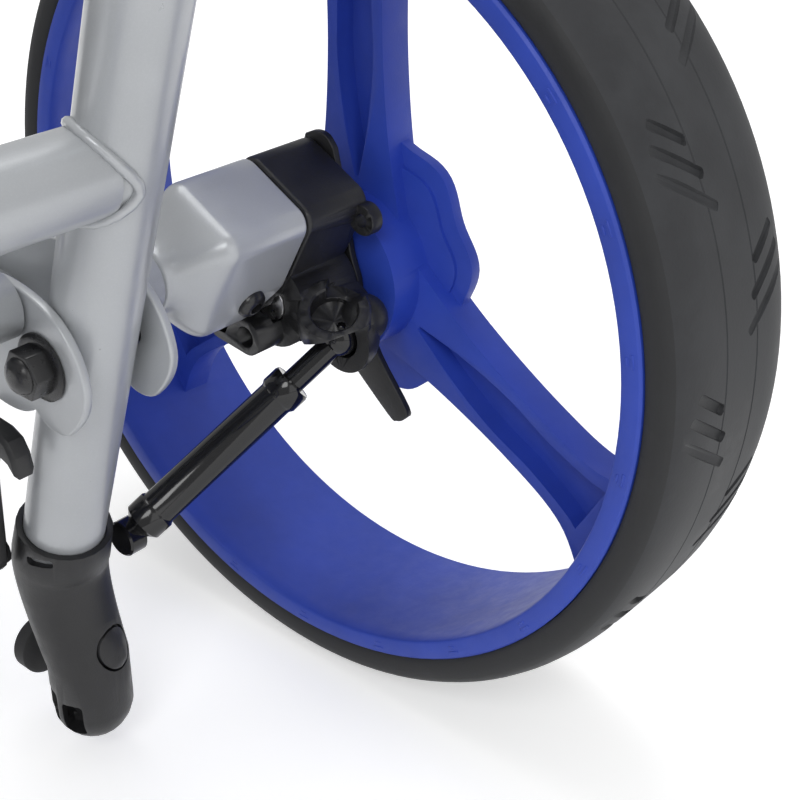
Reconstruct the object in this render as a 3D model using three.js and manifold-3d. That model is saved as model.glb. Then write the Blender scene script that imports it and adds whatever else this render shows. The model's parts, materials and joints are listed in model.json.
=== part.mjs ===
// A three-wheel golf push cart with a folding twin-rail frame. Millimetres, +X right, +Y forward, +Z up.
// The lower frame carries the wheels. The upper frame turns on two bolts and folds forward over the front wheel.

import * as THREE from 'three';
import { mergeVertices } from 'three/addons/utils/BufferGeometryUtils.js';
import Module from 'manifold-3d';

const wasm = await Module();
wasm.setup();

// ---- Driving dimensions ----

const seatGap = 0.3; // between pieces that touch
const runGap = 0.5; // between pieces that turn or slide

const rearWheel = { radius: 145, width: 61, segments: 36 };
const frontWheel = { radius: 120, width: 52, segments: 36 };
const trackHalf = 226; // centre plane to the inner face of a rear wheel
const rimDepth = 13; // tyre crown to rim seat
const lipWidth = 7; // flat lip of the rim
const farLip = 3; // rim wall at its outer edge
const hubRadius = 27;
const hubInset = 9; // hub's end to the rim's outer edge
const axleRadius = 6;
const bushRadius = 9;
const spoke = { near: 20, depth: 24, half: 11.5, groove: 14, edge: 4.5 };

const railInset = 81; // wheel inner face to the rail's centre
const railRadius = 12.7;
const tubeWall = 2;
const neckX = 34; // centre plane to a rail at the top bracket
const railLean = THREE.MathUtils.degToRad(19);
const pivot = { y: -3, z: 13 }; // fold bolt, from the wheel axis
const railLength = 540; // fold bolt to the top bracket
const railBelow = 92; // fold bolt to the rail's lower end
const crossRadius = 12.2;
const crossUp = 62; // fold bolt to the cross tube
const upperCrossUp = 300;
const upperTubeRadius = 9;

const plateThickness = 3;
const plateClearance = 0.9; // rail's side to a leg plate
const boltRadius = 4;
const legBoltRadius = 3;
const legBoltY = 76;

const block = { y: 3, z: 23, width: 32.6, height: 42, tilt: 28.5, from: -49, to: -10 };
const armRadius = 10;
const armAt = { y: 4, z: 22.5 };
const beamAt = { y: 11, z: 28 };
const housingEnd = 16.5;
const leverThickness = 2.5;
const socket = { x: 3, y: -19.3, z: -10.2, ball: 6.3, wall: 5.5 };
const strutFoot = { off: 4.5, y: 17, z: -70 };
const strut = { rod: 4, tube: 6.2, collar: 7, collarLength: 8, footEnd: 6 };

const foot = { wall: 2.8, top: -76, bottom: -138, bevel: 3 };

const legRadius = 12.5;
const frontAxleY = 440;
const forkX = 51; // centre plane to a front leg
const frontAxleHalf = 62;
const legUp = 9; // front leg's start above the wheel axis

const stem = { radius: 13, length: 290, knuckle: 13 };
const hingeUp = railLength + 50; // fold bolt to the handle hinge
const handle = { tube: 10.5, ring: 78, neck: 52, grip: 14.5, rise: 15 };
const handleUp = hingeUp + stem.length + 24;
const bag = { radius: 115, wall: 6, baseY: 165, ahead: 150, legFall: 1.6 };

// ---- Derived places ----

const railX = trackHalf - railInset;
const plateSpace = railRadius + plateClearance; // half the space between two leg plates
const footHalf = railRadius + foot.wall;
const strutFootX = -railInset + footHalf + strutFoot.off;
const axisZ = rearWheel.radius;
const pivotZ = axisZ + pivot.z;
const up = new THREE.Vector3(0, -Math.sin(railLean), Math.cos(railLean));
const ahead = new THREE.Vector3(0, Math.cos(railLean), Math.sin(railLean));

// A point on the upper frame: x across, along the rails from the fold bolts, and ahead of the rails' plane.
function onFrame(x, along, out = 0) {
    return new THREE.Vector3(x, pivot.y, pivotZ).addScaledVector(up, along).addScaledVector(ahead, out);
}

// ---- Geometry helpers ----

const acrossX = new THREE.Matrix4().makeBasis(
    new THREE.Vector3(0, 1, 0),
    new THREE.Vector3(0, 0, 1),
    new THREE.Vector3(1, 0, 0),
);

// Turns a shape drawn in the rails' plane (x across, y along) into the cart's frame.
const onRails = new THREE.Matrix4()
    .makeBasis(new THREE.Vector3(1, 0, 0), up, ahead.clone().negate())
    .setPosition(0, pivot.y, pivotZ);

function bare(geometry) {
    const clean = geometry.index ? geometry.clone() : geometry;
    clean.deleteAttribute('normal');
    clean.deleteAttribute('uv');
    return mergeVertices(clean, 1e-4);
}

function toSolid(geometry) {
    const clean = bare(geometry);
    const vertProperties = new Float32Array(clean.attributes.position.array);
    const triVerts = new Uint32Array(clean.index.array);
    return new wasm.Manifold(new wasm.Mesh({ numProp: 3, vertProperties, triVerts }));
}

function toGeometry(solid) {
    const mesh = solid.getMesh();
    const geometry = new THREE.BufferGeometry();
    geometry.setAttribute('position', new THREE.BufferAttribute(mesh.vertProperties, 3));
    geometry.setIndex(new THREE.BufferAttribute(mesh.triVerts, 1));
    return geometry;
}

function join(...pieces) {
    return toGeometry(pieces.map(toSolid).reduce((all, piece) => all.add(piece)));
}

function cut(body, ...tools) {
    return toGeometry(tools.map(toSolid).reduce((left, tool) => left.subtract(tool), toSolid(body)));
}

function mirrored(geometry) {
    const flipped = bare(geometry).scale(-1, 1, 1);
    const index = flipped.index.array;
    for (let i = 0; i < index.length; i += 3) {
        [index[i], index[i + 1]] = [index[i + 1], index[i]];
    }
    return flipped;
}

// The points of a circle, with none repeated.
function circlePoints(radius, y = 0, z = 0, count = 12) {
    return Array.from({ length: count }, (_, i) => {
        const angle = (i / count) * 2 * Math.PI;
        return new THREE.Vector2(y + radius * Math.cos(angle), z + radius * Math.sin(angle));
    });
}

// Cuts a round hole in a shape, wound the other way from the shape's outline.
function holeIn(shape, radius, y = 0, z = 0, count = 12) {
    const points = circlePoints(radius, y, z, count);
    const outlineIsClockwise = THREE.ShapeUtils.isClockWise(shape.getPoints());
    shape.holes.push(new THREE.Path(outlineIsClockwise ? points : points.reverse()));
}

// A prism of a Y-Z shape, from x to x + depth.
function slab(shape, x, depth, bevel = 0, curveSegments = 8) {
    const geometry = new THREE.ExtrudeGeometry(shape, {
        depth: depth - 2 * bevel,
        bevelEnabled: bevel > 0,
        bevelThickness: bevel,
        bevelSize: bevel,
        bevelOffset: -bevel,
        bevelSegments: 1,
        curveSegments,
    });
    return geometry.translate(0, 0, bevel).applyMatrix4(acrossX).translate(x, 0, 0);
}

// A round bar or ring between two points.
function rod(from, to, radius, bore = 0, segments = 14) {
    const length = from.distanceTo(to);
    const profile = bore > 0
        ? [[bore, 0], [radius, 0], [radius, length], [bore, length], [bore, 0]]
        : [[0, 0], [radius, 0], [radius, length], [0, length]];
    const geometry = new THREE.LatheGeometry(profile.map(([r, h]) => new THREE.Vector2(r, h)), segments);
    const turn = new THREE.Quaternion().setFromUnitVectors(
        new THREE.Vector3(0, 1, 0),
        to.clone().sub(from).normalize(),
    );
    return geometry.applyQuaternion(turn).translate(from.x, from.y, from.z);
}

function rodX(x0, x1, y, z, radius, bore = 0, segments = 14) {
    return rod(new THREE.Vector3(x0, y, z), new THREE.Vector3(x1, y, z), radius, bore, segments);
}

// A ring or disc about the X axis from a closed list of [radius, x].
function turned(profile, segments) {
    const points = profile.map(([r, x]) => new THREE.Vector2(r, x));
    return new THREE.LatheGeometry(points, segments).rotateZ(-Math.PI / 2);
}

// A path through given points, with the mean direction of its two runs at each inner point.
class RunPath extends THREE.Curve {
    constructor(points) {
        super();
        this.points = points;
    }

    getPoint(t, target = new THREE.Vector3()) {
        const at = t * (this.points.length - 1);
        const i = Math.min(Math.floor(at + 1e-9), this.points.length - 2);
        return target.lerpVectors(this.points[i], this.points[i + 1], at - i);
    }

    getPointAt(t, target) {
        return this.getPoint(t, target);
    }

    getTangentAt(t, target = new THREE.Vector3()) {
        const last = this.points.length - 1;
        const i = Math.round(t * last);
        const before = this.points[Math.max(i, 1)].clone().sub(this.points[Math.max(i, 1) - 1]).normalize();
        const next = Math.min(i, last - 1);
        const after = this.points[next + 1].clone().sub(this.points[next]).normalize();
        return target.copy(before).add(after).normalize();
    }
}

// A bent tube: straight runs joined by round bends of the given size at each inner point.
function bentTube(points, bend, radius, bore) {
    const run = [points[0]];
    for (let i = 1; i < points.length - 1; i += 1) {
        const corner = points[i];
        const enter = corner.clone().addScaledVector(points[i - 1].clone().sub(corner).normalize(), bend);
        const leave = corner.clone().addScaledVector(points[i + 1].clone().sub(corner).normalize(), bend);
        run.push(...new THREE.QuadraticBezierCurve3(enter, corner, leave).getPoints(3));
    }
    run.push(points[points.length - 1]);
    const section = new THREE.Shape(circlePoints(radius));
    holeIn(section, bore);
    return new THREE.ExtrudeGeometry(section, { steps: run.length - 1, extrudePath: new RunPath(run) });
}

// The radius of a faceted bore that leaves room for a round bar of the given radius.
function openRadius(radius, segments = 16) {
    return (radius + seatGap) / Math.cos(Math.PI / segments);
}

function roundedRectangle(width, height, corner, cy = 0, cz = 0, tilt = 0) {
    const shape = new THREE.Shape();
    const turn = THREE.MathUtils.degToRad(tilt);
    const inner = [[1, 1], [-1, 1], [-1, -1], [1, -1]];
    inner.forEach(([sy, sz], i) => {
        const u = sy * (width / 2 - corner);
        const v = sz * (height / 2 - corner);
        const y = cy + u * Math.cos(turn) - v * Math.sin(turn);
        const z = cz + u * Math.sin(turn) + v * Math.cos(turn);
        const from = turn + i * Math.PI / 2;
        shape.absarc(y, z, corner, from, from + Math.PI / 2);
    });
    return shape;
}

// ---- Wheels, in their own frame: axis along X, inner face at x = 0 ----

function spokeShape(rimInner) {
    const shape = new THREE.Shape();
    const half = spoke.half;
    const right = [
        [half + 7.5, hubRadius * 0.6],
        [half + 2, hubRadius + 20],
        [half, rimInner * 0.66],
        [half + 2.5, rimInner * 0.87],
        [half + 15, rimInner + 2],
    ].map(([y, z]) => new THREE.Vector2(y, z));
    const left = right.map((point) => new THREE.Vector2(-point.x, point.y)).reverse();
    shape.moveTo(right[0].x, right[0].y);
    shape.splineThru(right.slice(1));
    shape.lineTo(left[0].x, left[0].y);
    shape.splineThru(left.slice(1));
    shape.closePath();
    return shape;
}

function grooveShape(rimInner) {
    const half = spoke.half - spoke.edge;
    const shape = new THREE.Shape();
    const low = hubRadius + 8;
    const high = rimInner * 0.86;
    shape.absarc(0, high, half, 0, Math.PI);
    shape.absarc(0, low, half, Math.PI, 2 * Math.PI);
    shape.closePath();
    return shape;
}

// The web behind the spokes: three wings whose edge waves and draws in towards the next spoke.
function webShape() {
    const shape = new THREE.Shape();
    const wingPoints = 8;
    const wings = 3;
    for (let i = 0; i < wings * wingPoints; i += 1) {
        const share = (i % wingPoints) / wingPoints;
        const angle = Math.PI / 2 + (i / (wings * wingPoints)) * 2 * Math.PI;
        const radius = 49 - 9 * share + 1.6 * Math.cos(share * 6 * Math.PI);
        const y = radius * Math.cos(angle);
        const z = radius * Math.sin(angle);
        if (i === 0) shape.moveTo(y, z);
        else shape.lineTo(y, z);
    }
    shape.closePath();
    return shape;
}

function rimGeometry(wheel) {
    const seat = wheel.radius - rimDepth;
    const nearInner = seat - lipWidth;
    const far = wheel.width;
    const hubFar = far - hubInset;
    const depthScale = wheel.width / rearWheel.width;
    const near = spoke.near * depthScale;
    const depth = spoke.depth * depthScale;
    const barrel = turned(
        [[nearInner, 0], [seat, 0], [seat, far], [seat - farLip, far], [nearInner, 0]],
        wheel.segments,
    );
    const hub = rodX(near, hubFar, 0, 0, hubRadius, 0, 20);
    const web = slab(webShape(), near + depth - 6, 4);
    let solid = toSolid(barrel).add(toSolid(hub)).add(toSolid(web));
    for (let i = 0; i < 3; i += 1) {
        const arm = slab(spokeShape(nearInner), near, depth, 0, 2).rotateX(i * 2 * Math.PI / 3);
        solid = solid.add(toSolid(arm));
    }
    for (let i = 0; i < 3; i += 1) {
        const groove = slab(grooveShape(nearInner), near - 1, spoke.groove + 1, 0, 3);
        solid = solid.subtract(toSolid(groove.rotateX(i * 2 * Math.PI / 3)));
    }
    const bore = rodX(near - 1, hubFar + 1, 0, 0, openRadius(bushRadius + 0.2), 0, 16);
    return toGeometry(solid.subtract(toSolid(bore)));
}

function tyreGeometry(wheel) {
    const crown = wheel.radius;
    const far = wheel.width;
    const seat = crown - rimDepth + seatGap;
    const half = [[seat, 1.5], [crown - 6, 0.5], [crown - 1.8, 5], [crown, 14]];
    const back = half.map(([r, x]) => [r, far - x]).reverse();
    return turned([...half, ...back, half[0]], wheel.segments);
}

// A shallow cap over the outer end of the hub.
function capGeometry(wheel) {
    const x = wheel.width - hubInset + seatGap;
    return turned(
        [[0, x + 9.5], [17, x + 9], [hubRadius - 2, x + 5], [hubRadius - 0.5, x], [hubRadius - 3, x],
            [hubRadius - 5, x + 3.5], [16, x + 6.5], [0, x + 7]].reverse(),
        20,
    );
}

// ---- Lower frame, right side: x from the rear wheel's inner face, y and z from its axis ----

const outerPlateX = -railInset + plateSpace;
const innerPlateX = -railInset - plateSpace - plateThickness;

function plateShape() {
    const shape = new THREE.Shape();
    shape.moveTo(-10, 29);
    shape.quadraticCurveTo(0, 35, 14, 35);
    shape.lineTo(60, 27);
    shape.quadraticCurveTo(98, 22, 100, 8);
    shape.quadraticCurveTo(98, -6, 84, -7);
    shape.lineTo(22, -6);
    shape.quadraticCurveTo(10, -8, 4, -3);
    shape.quadraticCurveTo(-3, -10, -11, -6);
    shape.quadraticCurveTo(-22, 4, -20, 13);
    shape.quadraticCurveTo(-18, 23, -10, 29);
    holeIn(shape, boltRadius + seatGap, pivot.y, pivot.z);
    holeIn(shape, legBoltRadius + seatGap, legBoltY, legUp);
    return shape;
}

// A bolt along X with a domed cap nut inboard, and a button head outboard or its end flush in the plate.
function bolt(x0, x1, y, z, radius, hasHead = true) {
    const nut = turned(
        [[0, -radius * 2.6], [radius * 0.9, -radius * 2.3], [radius * 1.3, -radius * 1.5], [radius * 1.6, -2],
            [radius * 2, -2], [radius * 2, 0], [0, 0]],
        10,
    );
    const end = hasHead ? x1 + seatGap : x1;
    const pieces = [rodX(x0 - seatGap, end, 0, 0, radius, 0, 10), nut.translate(x0 - seatGap, 0, 0)];
    if (hasHead) {
        const head = turned([[0, 0], [radius * 1.8, 0], [radius * 1.4, radius * 0.8], [0, radius]], 10);
        pieces.push(head.translate(end, 0, 0));
    }
    return join(...pieces).translate(0, y, z);
}

function wheelArm() {
    const from = outerPlateX + plateThickness + seatGap;
    return rodX(from, block.from - seatGap, armAt.y, armAt.z, armRadius, armRadius - tubeWall, 16);
}

function blockShape(grow = 0) {
    return roundedRectangle(block.width + grow, block.height + grow, 6, block.y, block.z, block.tilt);
}

// The direction across the block's rear face, pointing out to the rear and down.
const blockTilt = THREE.MathUtils.degToRad(block.tilt);
const blockRear = { y: -Math.cos(blockTilt), z: -Math.sin(blockTilt) };
const screwAt = {
    x: -24,
    y: block.y + blockRear.y * block.width / 2 + Math.sin(blockTilt) * 9,
    z: block.z + blockRear.z * block.width / 2 - Math.cos(blockTilt) * 9,
};

function wheelBlock() {
    const body = slab(blockShape(), block.from, block.to - block.from, 2.5, 4);
    const reach = 9;
    const hole = rod(
        new THREE.Vector3(screwAt.x, screwAt.y - blockRear.y * reach, screwAt.z - blockRear.z * reach),
        new THREE.Vector3(screwAt.x, screwAt.y + blockRear.y * 2, screwAt.z + blockRear.z * 2),
        2.5 + seatGap,
        0,
        14,
    );
    return cut(body, hole);
}

function blockScrew() {
    const head = new THREE.LatheGeometry(
        [[0, 0], [4.6, 0], [4.4, 1.2], [3, 2.4], [0, 2.8]].map(([r, h]) => new THREE.Vector2(r, h)),
        18,
    );
    const shank = new THREE.CylinderGeometry(2.5, 2.5, 8, 14).translate(0, -3.9, 0);
    const screw = join(head, shank);
    const outward = new THREE.Vector3(0, blockRear.y, blockRear.z);
    const turn = new THREE.Quaternion().setFromUnitVectors(new THREE.Vector3(0, 1, 0), outward);
    const lift = seatGap;
    return screw.applyQuaternion(turn).translate(
        screwAt.x,
        screwAt.y + outward.y * lift,
        screwAt.z + outward.z * lift,
    );
}

const lugAt = { y: -20.5, z: 28 };

// The moulded housing: a box that carries on from the block, a round boss for the axle,
// a cup for the strut's ball, a holed lug and a tongue that runs back under the block.
function wheelHousing() {
    const start = block.to + seatGap;
    const box = slab(blockShape(), start, housingEnd - start, 1.5, 2);
    const boss = rodX(start, housingEnd, 0, 0, 15, 0, 16);
    const cupRadius = socket.ball + runGap + socket.wall;
    const cup = new THREE.SphereGeometry(cupRadius, 12, 8).translate(socket.x, socket.y, socket.z);
    const neck = slab(
        roundedRectangle(26, 16, 5, socket.y + 13, socket.z + 7, 28),
        socket.x + 1,
        housingEnd - socket.x - 4,
        0,
        2,
    );
    const lug = rodX(housingEnd - 11, housingEnd, lugAt.y, lugAt.z, 5, 0, 16);
    const tongue = slab(roundedRectangle(24, 12, 4, 7, -8, 8), block.to - 28, 34, 0, 2);
    const pocket = new THREE.SphereGeometry(socket.ball + runGap, 12, 8);
    const ballRoom = pocket.translate(socket.x, socket.y, socket.z);
    const mouth = new THREE.BoxGeometry(cupRadius, 2.2 * cupRadius, 2.2 * cupRadius);
    mouth.translate(socket.x - cupRadius / 2, socket.y, socket.z);
    const lugHole = rodX(housingEnd - 12, housingEnd + 1, lugAt.y, lugAt.z, 2, 0, 10);
    const slot = slab(roundedRectangle(7, 5, 1, -22, 14, block.tilt), start + 4, housingEnd - start, 0, 1);
    const axleHole = rodX(start - 1, housingEnd + 1, 0, 0, openRadius(axleRadius), 0, 16);
    const hexes = [-1, 1].map((side) => rodX(
        block.to - 29, block.to - 20, 7 + side * 5.6, -8 + side * 0.8, 3.2, 0, 6,
    ));
    const room = slab(blockShape(2 * seatGap), block.from - 1, block.to + seatGap - block.from + 1, 0, 2);
    const body = join(box, boss, cup, neck, lug, tongue);
    return cut(body, mouth, ballRoom, lugHole, slot, axleHole, ...hexes, room);
}

function brakeLever() {
    const from = housingEnd + runGap;
    const shape = new THREE.Shape();
    shape.moveTo(-4, 46);
    shape.quadraticCurveTo(3, 52, 9, 46);
    shape.lineTo(14, 10);
    shape.quadraticCurveTo(15, -4, 4, -15);
    shape.lineTo(-22, -46);
    shape.quadraticCurveTo(-30, -50, -32, -41);
    shape.lineTo(-15, -6);
    shape.quadraticCurveTo(-14, 4, -10, 12);
    shape.closePath();
    holeIn(shape, openRadius(axleRadius + 0.2), 0, 0, 16);
    return slab(shape, from, leverThickness, 0, 8);
}

function bushGeometry() {
    const from = spoke.near + runGap;
    return rodX(from, rearWheel.width - hubInset, 0, 0, bushRadius, axleRadius + seatGap, 16);
}

function axle() {
    const hubFar = rearWheel.width - hubInset;
    const shaft = rodX(block.to + 1, hubFar + 3.5, 0, 0, axleRadius, 0, 16);
    const clip = rodX(hubFar + seatGap, hubFar + 2.5, 0, 0, axleRadius + 3, 0, 16);
    return join(shaft, clip);
}

// ---- Strut, between the housing's cup and the outer side of the foot ----

function strutPieces() {
    const top = new THREE.Vector3(socket.x, socket.y, socket.z);
    const end = new THREE.Vector3(strutFootX, strutFoot.y, strutFoot.z);
    const length = top.distanceTo(end);
    const at = (distance) => top.clone().lerp(end, distance / length);
    const bodyFrom = 22;
    const bodyTo = length - strut.footEnd;
    const ball = new THREE.SphereGeometry(socket.ball, 10, 8).translate(top.x, top.y, top.z);
    const inner = rod(top, at(bodyFrom + 12), strut.rod, 0, 10);
    const sleeve = join(
        rod(at(bodyFrom), at(bodyTo), strut.tube, 0, 12),
        rod(at(bodyFrom), at(bodyFrom + strut.collarLength), strut.collar, 0, 12),
        rod(at(bodyTo - strut.collarLength), at(bodyTo), strut.collar, 0, 12),
        rod(at(bodyTo - 1), at(length - 3), strut.rod, 0, 10),
        rodX(end.x - 3.8, end.x + 3.8, end.y, end.z, 7, 0, 14),
    );
    const room = rod(at(bodyFrom - 1), at(bodyFrom + 12 + seatGap), openRadius(strut.rod, 10), 0, 10);
    return { rod: join(ball, inner), sleeve: cut(sleeve, room) };
}

// ---- Upper frame ----

function rail() {
    const points = [
        onFrame(railX, -railBelow),
        onFrame(railX, railLength - 190),
        onFrame(neckX, railLength - 80),
        onFrame(neckX, railLength),
    ];
    const tube = bentTube(points, 34, railRadius, railRadius - tubeWall);
    const hole = rodX(railX - 20, railX + 20, pivot.y, pivotZ, boltRadius + runGap, 0, 16);
    return cut(tube, hole);
}

// A cross tube between the rails, its ends shaped to sit on them.
function crossTube(along, radius) {
    const left = onFrame(-railX, along);
    const right = onFrame(railX, along);
    const saddles = [-1, 1].map((side) => rod(
        onFrame(side * railX, along - 40),
        onFrame(side * railX, along + 40),
        openRadius(railRadius),
        0,
        16,
    ));
    const tube = rod(left, right, radius, radius - tubeWall, 16);
    // The saddles also part the tube, so only what lies between them is kept.
    const keep = new THREE.BoxGeometry(2 * railX, 90, 90).applyMatrix4(onRails);
    keep.translate(0, along * up.y, along * up.z);
    const whole = toSolid(cut(tube, ...saddles));
    return toGeometry(whole.intersect(toSolid(keep)).decompose().sort((a, b) => b.volume() - a.volume())[0]);
}

// The foot: a moulded boot on the rail's lower end that bends upright towards the ground.
function footShape() {
    const shape = new THREE.Shape();
    const c = Math.cos(railLean);
    const s = Math.sin(railLean);
    const topY = pivot.y - foot.top * s;
    const topZ = pivot.z + foot.top * c;
    const half = footHalf;
    const heel = 24;
    shape.moveTo(topY + half * c, topZ + half * s);
    shape.quadraticCurveTo(topY + half * c + 9, topZ - 22, heel + half, -104);
    shape.lineTo(heel + half, foot.bottom + half);
    shape.absarc(heel, foot.bottom + half, half, 0, -Math.PI, true);
    shape.lineTo(heel - half, -104);
    shape.quadraticCurveTo(heel - half, -88, topY - half * c, topZ - half * s);
    shape.closePath();
    return shape;
}

function footBody() {
    const x = railX - footHalf;
    const boot = slab(footShape(), x, 2 * footHalf, foot.bevel, 5).translate(0, 0, axisZ);
    const bore = rod(onFrame(railX, -railBelow - seatGap), onFrame(railX, 0), openRadius(railRadius), 0, 16);
    const pockets = [-1, 1].map((side) => {
        const pocket = new THREE.BoxGeometry(9, 12, 15);
        return pocket.translate(railX + side * 6.2, 24 - footHalf, axisZ + foot.bottom + 20);
    });
    const disc = rod(
        new THREE.Vector3(railX, 24 - footHalf + 3, axisZ - 96),
        new THREE.Vector3(railX, 24 - footHalf - 1.5, axisZ - 96),
        7.5,
        0,
        14,
    );
    const slit = new THREE.BoxGeometry(8, 3, 12).applyMatrix4(onRails);
    const slitAt = onFrame(railX - footHalf + 2, foot.top).sub(onFrame(0, 0));
    slit.translate(slitAt.x, slitAt.y, slitAt.z);
    return cut(join(boot, disc), bore, slit, ...pockets);
}

// A round rubber stop on the front of the foot, which the folded cart stands on.
function footStop() {
    const y = 24 + footHalf + seatGap;
    return rod(
        new THREE.Vector3(railX, y, axisZ - 115),
        new THREE.Vector3(railX, y + 7, axisZ - 115),
        10,
        0,
        14,
    );
}

// The fold latch: a hooked lever beside the rail, hinged on the foot, that holds under the inner leg plate.
const latchPin = { y: 33, z: -63 };

function foldLatch() {
    const shape = new THREE.Shape();
    shape.moveTo(latchPin.y - 6, latchPin.z);
    shape.absarc(latchPin.y, latchPin.z, 6, Math.PI, 2 * Math.PI);
    shape.quadraticCurveTo(40, -28, 31, -12);
    shape.quadraticCurveTo(24, -9, 14, -10.5);
    shape.quadraticCurveTo(5, -12, 6, -24);
    shape.quadraticCurveTo(12, -17, 18, -20);
    shape.quadraticCurveTo(25, -26, 25, -38);
    shape.closePath();
    const x = innerPlateX - runGap - 7;
    const boss = rodX(x + 1, railX - trackHalf - footHalf - seatGap, latchPin.y, latchPin.z, 5, 0, 12);
    return join(slab(shape, x, 7, 1.2, 3), boss);
}

// ---- Front wheel and legs ----

const frontAxle = { y: frontAxleY, z: frontWheel.radius };
const forkThickness = 9;

// A leg runs from between the leg plates to the front axle, where it ends in a flat lug.
function frontLeg() {
    const points = [
        new THREE.Vector3(railX, 46, axisZ + legUp),
        new THREE.Vector3(railX, 130, axisZ + legUp),
        new THREE.Vector3(forkX, 270, axisZ + 4),
        new THREE.Vector3(forkX, frontAxle.y - 24, frontAxle.z + 6),
    ];
    const tube = bentTube(points, 30, legRadius, legRadius - tubeWall);
    const lug = slab(
        roundedRectangle(64, 28, 13, frontAxle.y - 16, frontAxle.z + 4, -14),
        forkX - forkThickness / 2,
        forkThickness,
        0,
        3,
    );
    const boltHole = rodX(railX - 20, railX + 20, legBoltY, axisZ + legUp, legBoltRadius + seatGap, 0, 14);
    const axleHole = rodX(forkX - 20, forkX + 20, frontAxle.y, frontAxle.z, openRadius(axleRadius), 0, 16);
    return cut(join(tube, lug), boltHole, axleHole);
}

function frontAxlePin() {
    const shaft = rodX(-frontAxleHalf, frontAxleHalf, 0, 0, axleRadius, 0, 16);
    const inner = forkX + forkThickness / 2 + seatGap;
    const heads = [-1, 1].map((side) => {
        const ends = [side * inner, side * frontAxleHalf].sort((a, b) => a - b);
        return rodX(ends[0], ends[1], 0, 0, 10, 0, 6);
    });
    return join(shaft, ...heads);
}

// The tray that the bag stands in: a plate across the legs with an upright wall round its front.
function bagTray() {
    const floor = new THREE.Shape();
    const open = THREE.MathUtils.degToRad(-22);
    floor.absarc(0, 0, bag.radius, open, Math.PI - open);
    floor.closePath();
    holeIn(floor, 38, 0, 20, 16);
    const thickness = 6;
    const plate = new THREE.ExtrudeGeometry(floor, { depth: thickness, bevelEnabled: false, curveSegments: 10 });
    const wallShape = new THREE.Shape();
    wallShape.absarc(0, 0, bag.radius, 0.25, Math.PI - 0.25);
    wallShape.absarc(0, 0, bag.radius - 5, Math.PI - 0.25, 0.25, true);
    wallShape.closePath();
    const wall = new THREE.ExtrudeGeometry(wallShape, { depth: 58, bevelEnabled: false, curveSegments: 12 });
    return join(plate, wall).translate(0, bag.baseY, axisZ + legUp - bag.legFall + legRadius + seatGap);
}

// ---- Bag cradle, stem and handle on the upper frame ----

// Places a geometry drawn with x across, y ahead of the rails' plane and z along the rails.
const aheadOfRails = new THREE.Matrix4()
    .makeBasis(new THREE.Vector3(1, 0, 0), ahead, up)
    .setPosition(0, pivot.y, pivotZ);

function arcBand(inner, outer, from, to, low, height) {
    const shape = new THREE.Shape();
    shape.absarc(0, bag.ahead, outer, from, to);
    shape.absarc(0, bag.ahead, inner, to, from, true);
    shape.closePath();
    const band = new THREE.ExtrudeGeometry(shape, { depth: height, bevelEnabled: false, curveSegments: 18 });
    return band.translate(0, 0, low);
}

const strapThickness = 2.4;
const strapWidth = 26;
const cradleReach = THREE.MathUtils.degToRad(18);

function upperCradle() {
    const band = arcBand(
        bag.radius,
        bag.radius + bag.wall,
        Math.PI - cradleReach,
        2 * Math.PI + cradleReach,
        upperCrossUp - 20,
        40,
    );
    const from = upperTubeRadius + seatGap;
    const to = bag.ahead - bag.radius - 2;
    const mount = new THREE.BoxGeometry(70, to - from, 30).translate(0, (from + to) / 2, upperCrossUp);
    return join(band, mount).applyMatrix4(aheadOfRails);
}

// The strap lies round the inside of the empty cradle, on the same facets, so it clears the wheel when folded.
function bagStrap() {
    const outer = bag.radius - seatGap;
    const band = arcBand(
        outer - strapThickness,
        outer,
        Math.PI - cradleReach,
        2 * Math.PI + cradleReach,
        upperCrossUp - strapWidth / 2,
        strapWidth,
    );
    return band.applyMatrix4(aheadOfRails);
}

const cheek = { from: stem.knuckle + runGap, thickness: 11, radius: 16 };

function stemBracket() {
    const top = railLength + 20;
    const low = railLength - 32;
    const box = new THREE.BoxGeometry(104, 36, top - low).translate(0, 0, (top + low) / 2);
    const pieces = [-1, 1].flatMap((side) => {
        const x = side * (cheek.from + cheek.thickness / 2);
        const post = new THREE.BoxGeometry(cheek.thickness, 2 * cheek.radius, hingeUp - top + 2);
        const round = new THREE.CylinderGeometry(cheek.radius, cheek.radius, cheek.thickness, 16);
        return [
            post.translate(x, 0, (hingeUp + top) / 2 - 1),
            round.rotateZ(Math.PI / 2).translate(x, 0, hingeUp),
        ];
    });
    const bores = [-1, 1].map((side) => {
        const radius = openRadius(railRadius);
        const bore = new THREE.CylinderGeometry(radius, radius, 40, 16);
        return bore.rotateX(Math.PI / 2).translate(side * neckX, 0, railLength + seatGap - 20);
    });
    const pinHole = new THREE.CylinderGeometry(4.5, 4.5, 80, 20).rotateZ(Math.PI / 2).translate(0, 0, hingeUp);
    return cut(join(box, ...pieces), ...bores, pinHole).applyMatrix4(aheadOfRails);
}

// The hinge pin with its clamp knob.
function handleKnob() {
    const half = cheek.from + cheek.thickness + seatGap;
    const pin = new THREE.CylinderGeometry(4, 4, 2 * half + 4, 20).rotateZ(Math.PI / 2);
    const end = new THREE.CylinderGeometry(8, 8, 4, 20).rotateZ(Math.PI / 2).translate(-half - 2, 0, 0);
    const outline = new THREE.Shape();
    const lobes = 5;
    const steps = 30;
    for (let i = 0; i < steps; i += 1) {
        const angle = (i / steps) * 2 * Math.PI;
        const radius = 17 + 2 * Math.cos(lobes * angle);
        const y = radius * Math.cos(angle);
        const z = radius * Math.sin(angle);
        if (i === 0) outline.moveTo(y, z);
        else outline.lineTo(y, z);
    }
    outline.closePath();
    const knob = slab(outline, half, 14, 1.5);
    return join(pin, end, knob).translate(0, 0, hingeUp).applyMatrix4(aheadOfRails);
}

const handleCheek = { from: 11.5, thickness: 6, radius: 13 };

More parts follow.
